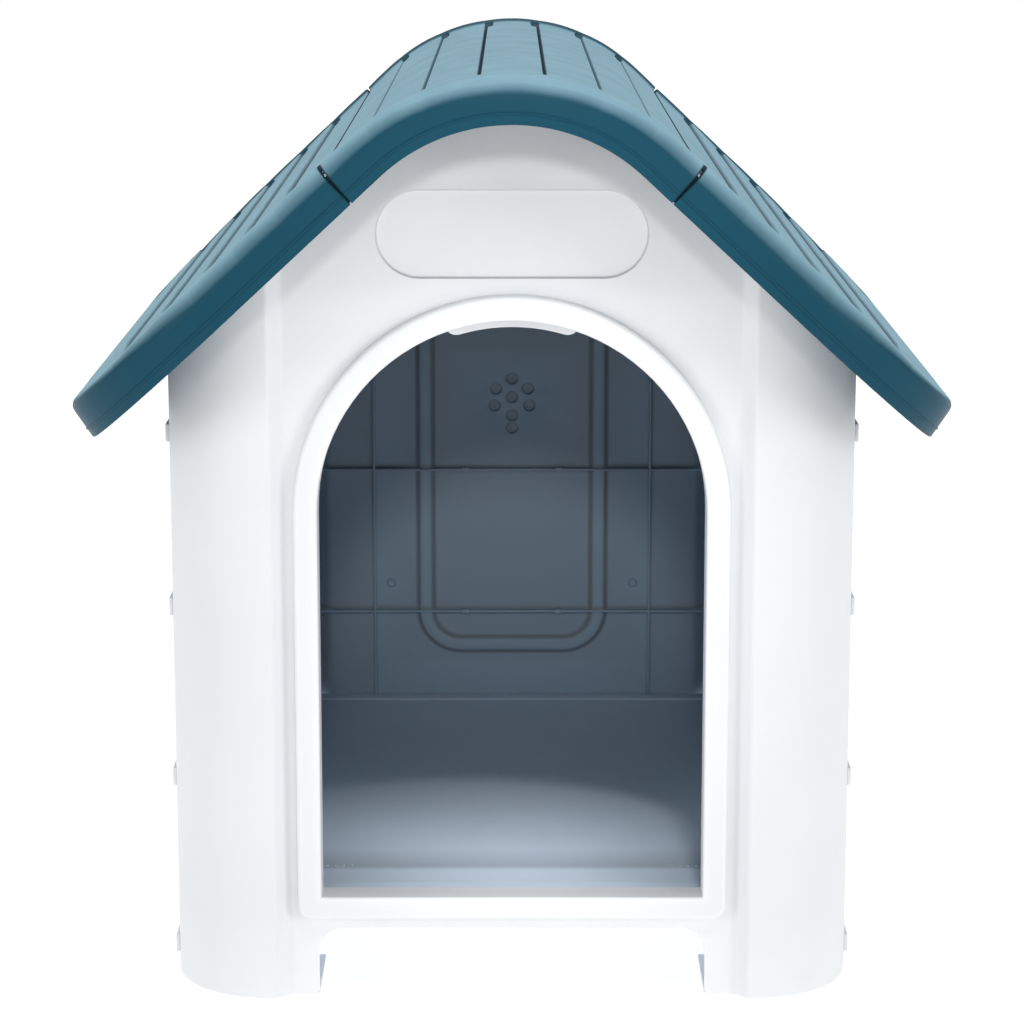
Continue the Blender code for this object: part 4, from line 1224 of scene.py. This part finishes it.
class HUTCH_OT_side_panels(bpy.types.Operator):
    """Build the two side panels with their recessed field and vent slots"""
    bl_idname = "hutch.side_panels"
    bl_label = "Side Panels"

    def execute(self, context):
        walls = context.scene.hutch_walls
        outline = side_outline(walls)
        count, slot_length, slot_height, pitch, top_gap = SLOTS
        holes = []
        for number in range(count):
            low = SIDE_TOP - top_gap - number * pitch
            holes.append(rounded_box((-slot_length / 2, low), (slot_length / 2, low + slot_height),
                                     slot_height / 2.02)[::-1])
        field_half, field_low, below, corner = FIELD
        field = rounded_box((-field_half, field_low), (field_half, SIDE_TOP - below), corner, 6 * DEGREE)
        lines = edge_lines([outline] + holes, walls.edge_round)
        lines += [closed_line(parallel(field, step * MM, True)) for step in (-0.4, 0.4, 1.2, 2.0, 2.8, 3.6)]
        lines += [[(-0.25, z), (0.25, z)] for z in np.arange(0.06, SIDE_TOP, 0.04)]
        net, triangles = flat_net(outline, holes, lines)
        away = edge_distance(net, [outline] + holes)
        rounding = round_over(away, walls.edge_round)
        within = np.where(inside(net, field), 1, -1) * distance(net, closed_line(field))
        depth = rounding + FIELD_DEPTH * eased(within / (3.2 * MM))
        back = walls.wall - rounding
        marks = {"edge": np.clip(1 - away / (2.5 * walls.edge_round), 0, 1)}
        y, z = net.T
        for side, node in ((1, "side_panel_right"), (-1, "side_panel_left")):
            outer = np.stack([side * (SIDE_FACE - depth), y, z], axis=1)
            inner = np.stack([side * (SIDE_FACE - back), y, z], axis=1)
            piece = sheet(node + "_shell", triangles, outer, inner, "wall_white", marks)
            settle(piece, HOUSE, "wall_white", node)
        return {"FINISHED"}


class HUTCH_OT_corner_clips(bpy.types.Operator):
    """Repeat the corner clips up the four columns"""
    bl_idname = "hutch.corner_clips"
    bl_label = "Corner Clips"

    def execute(self, context):
        walls = context.scene.hutch_walls
        half = walls.clip_height / 2

        def clips(bm):
            for side in (-1, 1):
                for end in (-1, 1):
                    edge = -end * COLUMN_EDGE_Y
                    xs = sorted((side * (SIDE_FACE - 0.6 * MM), side * (SIDE_FACE + walls.clip_wall)))
                    ys = sorted((edge - end * walls.clip_root, edge + end * walls.clip_reach))
                    block(bm, (xs[0], ys[0], -half), (xs[1], ys[1], half), 0.9 * MM)
                    inner = sorted((side * (SIDE_FACE - walls.wall + 0.6 * MM),
                                    side * (SIDE_FACE - walls.wall - walls.clip_wall)))
                    lip = sorted((edge - end * walls.clip_root, edge + end * 7 * MM))
                    block(bm, (inner[0], lip[0], -half), (inner[1], lip[1], half), 0.6 * MM)

        rows = [(clips, 4, (0.0, 0.0, walls.clip_first), (0.0, 0.0, walls.clip_pitch))]
        settle(join_rows("corner_clips", rows, "wall_white"), HOUSE, "wall_white")
        return {"FINISHED"}


class HUTCH_OT_stiffeners(bpy.types.Operator):
    """Repeat the stiffening ribs inside the rear and side panels"""
    bl_idname = "hutch.stiffeners"
    bl_label = "Stiffening Ribs"

    def execute(self, context):
        walls = context.scene.hutch_walls
        half = walls.stiffener_wall / 2
        rear_face = -COLUMN_FACE_Y - walls.panel_recess - walls.wall
        rib_y = (rear_face - walls.stiffener_rise, rear_face + 0.6 * MM)
        side_x = SIDE_FACE - walls.wall
        rise = walls.stiffener_high - walls.stiffener_low
        end_x = walls.column_face_x - walls.step_x - walls.wall
        floor_z = FLOOR_HIGH.z + 0.8 * MM
        soft = 0.7 * MM

        def rear_level(bm):
            block(bm, (-end_x - 12 * MM, rib_y[0], -half), (end_x + 12 * MM, rib_y[1], half), soft)
            for x in (-0.040, 0.040):
                block(bm, (x - 3 * MM, rib_y[0] - 0.8 * MM, -half - 0.9 * MM),
                      (x + 3 * MM, rib_y[1], half + 0.9 * MM), 0.8 * MM)

        def rear_upright(bm):
            block(bm, (-half, rib_y[0], floor_z), (half, rib_y[1], 0.515), soft)

        def side_level(bm):
            reach = -COLUMN_EDGE_Y - 20 * MM
            for side in (-1, 1):
                xs = sorted((side * (side_x - walls.stiffener_rise), side * (side_x + 0.6 * MM)))
                block(bm, (xs[0], -reach, -half), (xs[1], reach, half), soft)

        def side_upright(bm):
            for side in (-1, 1):
                xs = sorted((side * (side_x - walls.stiffener_rise), side * (side_x + 0.6 * MM)))
                block(bm, (xs[0], -half, floor_z), (xs[1], half, SIDE_TOP - 1 * MM), soft)

        low = (0.0, 0.0, walls.stiffener_low)
        up = (0.0, 0.0, rise)
        rows = [
            (rear_level, 2, low, up),
            (rear_upright, 2, (-walls.stiffener_x, 0.0, 0.0), (2 * walls.stiffener_x, 0.0, 0.0)),
            (side_level, 2, low, up),
            (side_upright, 2, (0.0, -0.105, 0.0), (0.0, 0.210, 0.0)),
        ]
        settle(join_rows("stiffening_ribs", rows, "wall_white"), HOUSE, "wall_white")
        return {"FINISHED"}


class HUTCH_OT_ledges(bpy.types.Operator):
    """Build the foot plates, and repeat the shelves and webs that hold the floor"""
    bl_idname = "hutch.ledges"
    bl_label = "Ledges and Feet"

    def execute(self, context):
        walls = context.scene.hutch_walls
        panel_back = COLUMN_FACE_Y + walls.panel_recess + walls.wall
        shelf_top = FLOOR_HIGH.z - 3.3 * MM
        shelf = 3 * MM
        ledge_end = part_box("door_surround")[1].y + 20.8 * MM
        half = walls.foot_inner_x

        def webs(bm):
            for end in (-1, 1):
                ys = sorted((end * (panel_back - 0.6 * MM), end * (ledge_end - 1 * MM)))
                block(bm, (-1.5 * MM, ys[0], shelf_top - 15 * MM), (1.5 * MM, ys[1], shelf_top - 1 * MM),
                      0.6 * MM)

        def shelves(bm):
            for end in (-1, 1):
                ys = sorted((end * (panel_back - 0.6 * MM), end * ledge_end))
                block(bm, (-half, ys[0], shelf_top - shelf), (half, ys[1], shelf_top), 0.6 * MM)
            for side in (-1, 1):
                xs = sorted((side * LEDGE_END_X, side * (SIDE_FACE - walls.wall + 0.6 * MM)))
                reach = walls.side_undercut_y
                block(bm, (xs[0], -reach, shelf_top - shelf), (xs[1], reach, shelf_top), 0.6 * MM)

        rows = [(webs, 5, (-0.8 * half, 0.0, 0.0), (0.4 * half, 0.0, 0.0)),
                (shelves, 1, (0.0, 0.0, 0.0), (0.0, 0.0, 0.0))]
        settle(join_rows("floor_ledges", rows, "wall_white"), HOUSE, "wall_white")

        wall = EndWall(walls, Roof(context.scene.hutch_roof))
        places = np.linspace(walls.foot_inner_x, wall.end, 60)
        line = wall.place(places, places * 0, np.full(len(places), walls.wall - 0.4 * MM))
        outline = [(p[0], p[1]) for p in line] + [(walls.foot_inner_x, COLUMN_EDGE_Y)]
        bm = bmesh.new()
        for side in (-1, 1):
            for end in (-1, 1):
                turn = [(side * x, end * y) for x, y in outline]
                prism(bm, turn, 0.3 * MM, 4 * MM, lambda a, b, c: (a, b, c))
        settle(from_bmesh("foot_plates", bm, "wall_white"), HOUSE, "wall_white")
        return {"FINISHED"}


# ------------------------------------------------------------------ doorway and floor
class HUTCH_OT_door_surround(bpy.types.Operator):
    """Build the raised surround of the doorway and the tab under its crown"""
    bl_idname = "hutch.door_surround"
    bl_label = "Door Surround"

    def execute(self, context):
        walls = context.scene.hutch_walls
        face = SURROUND_HIGH.x - walls.door_half
        front_y, back_y = SURROUND_LOW.y, SURROUND_HIGH.y
        seat_y = COLUMN_FACE_Y + walls.panel_recess - 0.3 * MM
        inner_round, outer_round = 2.0 * MM, 3.6 * MM
        section = [(0.0, back_y - 0.8 * MM), (0.0, 0.5 * (back_y + front_y)), (0.0, front_y + inner_round)]
        section += [(inner_round * (1 - math.cos(a)), front_y + inner_round * (1 - math.sin(a)))
                    for a in np.linspace(0, math.pi / 2, 6)[1:]]
        section += [(0.35 * face, front_y - 0.0002), (0.6 * face, front_y - 0.0002)]
        section += [(face - outer_round * (1 - math.sin(a)), front_y + outer_round * (1 - math.cos(a)))
                    for a in np.linspace(0, math.pi / 2, 8)]
        section += [(face + 0.3 * MM, seat_y - 1.2 * MM), (face + 0.3 * MM, seat_y),
                    (walls.surround_neck, seat_y),
                    (walls.surround_neck, back_y - 0.8 * MM), (walls.surround_neck - 0.8 * MM, back_y),
                    (0.8 * MM, back_y)]
        rings, wear_and_highlight = [], []
        for grow, y in section:
            corner = walls.surround_corner * max(grow, 0.0) / face + 0.8 * MM
            ring = door_ring(walls, grow, corner)
            rings.append(np.array([(x, y, z) for x, z in ring]))
            handled = y < front_y + 1.5 * MM and (grow < 2 * MM or grow > face - 3 * MM)
            wear_and_highlight.append(np.full(len(ring), 0.5 if handled else 0.0))
        piece = loft("door_surround_frame", rings, "wall_white", {"edge": np.concatenate(wear_and_highlight)})
        settle(piece, HOUSE, "wall_white", "door_surround")

        arch_z = walls.door_crown - walls.door_half
        high = walls.door_half + 0.6 * MM
        low = walls.door_half - walls.tab_drop
        up = math.pi / 2
        spread = 20 * DEGREE
        outer = arc((0.0, arch_z), high, up - spread, up + spread, 2 * DEGREE)
        soft = 7.5 * DEGREE / 2
        inner_line = []
        for angle in np.linspace(up + spread, up - spread, 61):
            to_end = spread - abs(angle - up)
            share = np.clip(to_end / soft, 0, 1)
            drop = (high - low) * math.sqrt(max(0.0, 1 - (1 - share) ** 2.0))
            inner_line.append(((high - drop) * math.cos(angle), arch_z + (high - drop) * math.sin(angle)))
        outline = outer + inner_line[1:-1]
        bm = bmesh.new()
        prism(bm, outline, back_y - walls.tab_wall, back_y, lambda a, b, c: (a, c, b))
        sharp = [edge for edge in bm.edges if edge.calc_face_angle(0.0) > 60 * DEGREE]
        bmesh.ops.bevel(bm, geom=sharp, offset=0.7 * MM, segments=3, affect="EDGES", profile=0.5,
                        clamp_overlap=True)
        settle(from_bmesh("crown_tab", bm, "wall_white"), HOUSE, "wall_white")
        return {"FINISHED"}


class HUTCH_OT_floor_tray(bpy.types.Operator):
    """Build the floor tray with its raised margin, drain holes and rim"""
    bl_idname = "hutch.floor_tray"
    bl_label = "Floor Tray"

    def execute(self, context):
        walls = context.scene.hutch_walls
        corner = 0.050
        low, high = (FLOOR_LOW.x, FLOOR_LOW.y), (FLOOR_HIGH.x, FLOOR_HIGH.y)
        top = FLOOR_HIGH.z
        skin = 3 * MM
        outline = rounded_box(low, high, corner, 5 * DEGREE)
        field = rounded_box((low[0] + 0.018, low[1] + 0.021), (high[0] - 0.018, high[1] - 0.016), 0.040,
                            5 * DEGREE)
        holes = []
        for side in (-1, 1):
            for number in range(5):
                place = (side * (walls.door_half - 0.018 + number * 6 * MM),
                         low[1] + 0.061 - 0.8 * MM * number * (4 - number) / 2)
                holes.append(arc(place, 1.5 * MM, 0, 2 * math.pi, 30 * DEGREE)[:-1][::-1])
        lines = edge_lines([outline], 0.8 * MM)
        lines += [closed_line(parallel(field, step * MM, True))
                  for step in (-1.5, -0.7, 0.0, 0.8, 1.6, 2.4, 3.2, 4.0)]
        lines += [[(low[0], y), (high[0], y)] for y in np.arange(low[1] + 0.05, high[1], 0.05)]
        net, triangles = flat_net(outline, holes, lines)
        x, y = net.T
        away = edge_distance(net, [outline])
        rounding = round_over(away, 0.8 * MM)
        within = np.where(inside(net, field), 1, -1) * distance(net, closed_line(field))
        sunk = 1.4 * MM * eased((within + 0.7 * MM) / (3.6 * MM))
        outer = np.stack([x, y, top - rounding - sunk], axis=1)
        inner = np.stack([x, y, top - skin - sunk + rounding], axis=1)
        # Painted shade: darker round the drain holes.
        middles = [np.mean(hole, axis=0) for hole in holes]
        near_hole = np.min([np.hypot(x - a, y - b) for a, b in middles], axis=0)
        marks = {"edge": 0.4 * np.clip(1 - away / (3 * MM), 0, 1),
                 "groove": np.clip(1 - near_hole / (2.6 * MM), 0, 1)}
        piece = sheet("floor_tray_sheet", triangles, outer, inner, "floor_white", marks)
        settle(piece, HOUSE, "floor_white", "floor_tray")
        rim_x, rim_y = LEDGE_END_X - 0.8 * MM, -(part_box("door_surround")[1].y + 21.6 * MM)
        rings = []
        for inset, z in ((0, top - skin), (0, FLOOR_LOW.z + 0.5 * MM), (0.8 * MM, FLOOR_LOW.z),
                         (2.2 * MM, FLOOR_LOW.z), (3 * MM, FLOOR_LOW.z + 0.5 * MM), (3 * MM, top - skin)):
            ring = rounded_box((inset - rim_x, inset - rim_y), (rim_x - inset, rim_y - inset), 0.025 - inset)
            rings.append(np.array([(a, b, z) for a, b in ring]))
        settle(loft("floor_tray_rim", rings, "floor_white"), HOUSE, "floor_white")
        return {"FINISHED"}


# ------------------------------------------------------------------ stage
def place_light(light, place, direction):
    obj = bpy.data.objects.new(light.name, light)
    obj.location = place
    obj.rotation_euler = Vector(direction).to_track_quat("-Z", "Y").to_euler()
    bpy.context.scene.collection.objects.link(obj)


def sun(name, direction, power, angle):
    """Even light from one side; the angle softens its shadows."""
    light = bpy.data.lights.new(name, "SUN")
    light.energy = power
    light.angle = angle
    place_light(light, (0.0, 0.0, 2.0), direction)


def spot(name, place, target, power, angle):
    """A soft-edged pool of light."""
    light = bpy.data.lights.new(name, "SPOT")
    light.energy = power
    light.shadow_soft_size = 0.10
    light.spot_size = angle
    light.spot_blend = 1.0
    place_light(light, place, Vector(target) - Vector(place))


def studio_world():
    """A white backdrop that lights the hutch less than it shows."""
    world = bpy.data.worlds.new("studio")
    world.use_nodes = True
    tree = world.node_tree
    lit = next(node for node in tree.nodes if node.type == "BACKGROUND")
    result = next(node for node in tree.nodes if node.type == "OUTPUT_WORLD")
    lit.inputs["Color"].default_value = (0.97, 0.99, 1.0, 1.0)
    lit.inputs["Strength"].default_value = 0.5
    shown = tree.nodes.new("ShaderNodeBackground")
    shown.inputs["Color"].default_value = (1.0, 1.0, 1.0, 1.0)
    shown.inputs["Strength"].default_value = 1.0
    mix = tree.nodes.new("ShaderNodeMixShader")
    path = tree.nodes.new("ShaderNodeLightPath")
    tree.links.new(path.outputs["Is Camera Ray"], mix.inputs[0])
    tree.links.new(lit.outputs["Background"], mix.inputs[1])
    tree.links.new(shown.outputs["Background"], mix.inputs[2])
    tree.links.new(mix.outputs["Shader"], result.inputs["Surface"])
    return world


class HUTCH_OT_stage(bpy.types.Operator):
    """Set the pale floor, the soft light and the camera"""
    bl_idname = "hutch.stage"
    bl_label = "Stage"

    def execute(self, context):
        scene = context.scene
        colours = scene.hutch_colours
        bm = bmesh.new()
        bmesh.ops.create_circle(bm, cap_ends=True, segments=96, radius=9.0)
        bmesh.ops.translate(bm, verts=bm.verts[:], vec=(0.0, 0.0, -0.4 * MM))
        material = bpy.data.materials.new("stage_floor_finish")
        material.use_nodes = True
        shader = next(node for node in material.node_tree.nodes if node.type == "BSDF_PRINCIPLED")
        shader.inputs["Base Color"].default_value = (*colours.stage_white, 1.0)
        shader.inputs["Roughness"].default_value = 0.9
        shader.inputs["Emission Color"].default_value = (1.0, 1.0, 1.0, 1.0)
        shader.inputs["Emission Strength"].default_value = 0.8
        floor = from_bmesh("stage_floor", bm, "stage_floor")

        scene.world = studio_world()
        sun("front_left", (0.75, 0.63, -0.21), 0.58, 22 * DEGREE)
        sun("front_right", (-0.75, 0.63, -0.21), 0.76, 22 * DEGREE)
        sun("top", (0.05, -0.28, -0.96), 1.5, 34 * DEGREE)
        spot("doorway", (0.10, -0.95, 1.25), (0.0, -0.19, 0.07), 52.0, 14 * DEGREE)
        spot("gable", (0.0, -2.10, 1.16), (0.0, -0.28, 0.48), 36.0, 15 * DEGREE)

        data = bpy.data.cameras.new("camera")
        data.lens = 112.33
        data.sensor_width = 36.0
        camera = bpy.data.objects.new("camera", data)
        camera.location = (0.0, -2.4322, 0.7909)
        camera.rotation_euler = (math.pi / 2 - 11.597 * DEGREE, 0.0, 0.0)
        scene.collection.objects.link(camera)
        scene.camera = camera
        scene.view_settings.view_transform = "Standard"
        return {"FINISHED"}


class HUTCH_PT_panel(bpy.types.Panel):
    """Lists the pieces of the hutch in the order that they are built"""
    bl_idname = "HUTCH_PT_panel"
    bl_label = "Moulded Animal Hutch"
    bl_space_type = "VIEW_3D"
    bl_region_type = "UI"
    bl_category = "Hutch"

    def draw(self, context):
        for operator in OPERATORS:
            self.layout.operator(operator.bl_idname)


OPERATORS = (HUTCH_OT_finishes, HUTCH_OT_roof_shells, HUTCH_OT_fascia_bead, HUTCH_OT_roof_ribs,
             HUTCH_OT_front_panel, HUTCH_OT_rear_panel, HUTCH_OT_side_panels, HUTCH_OT_corner_clips,
             HUTCH_OT_stiffeners, HUTCH_OT_ledges, HUTCH_OT_door_surround, HUTCH_OT_floor_tray,
             HUTCH_OT_stage)
GROUPS = (("hutch_roof", HutchRoofSizes), ("hutch_walls", HutchWallSizes), ("hutch_colours", HutchColours))


def register():
    for _, group in GROUPS:
        bpy.utils.register_class(group)
    for name, group in GROUPS:
        setattr(bpy.types.Scene, name, bpy.props.PointerProperty(type=group))
    for operator in OPERATORS + (HUTCH_PT_panel,):
        bpy.utils.register_class(operator)


def unregister():
    for operator in reversed(OPERATORS + (HUTCH_PT_panel,)):
        bpy.utils.unregister_class(operator)
    for name, group in reversed(GROUPS):
        delattr(bpy.types.Scene, name)
        bpy.utils.unregister_class(group)


def main():
    register()
    for operator in OPERATORS:
        module, name = operator.bl_idname.split(".")
        getattr(getattr(bpy.ops, module), name)()


if __name__ == "__main__":
    main()
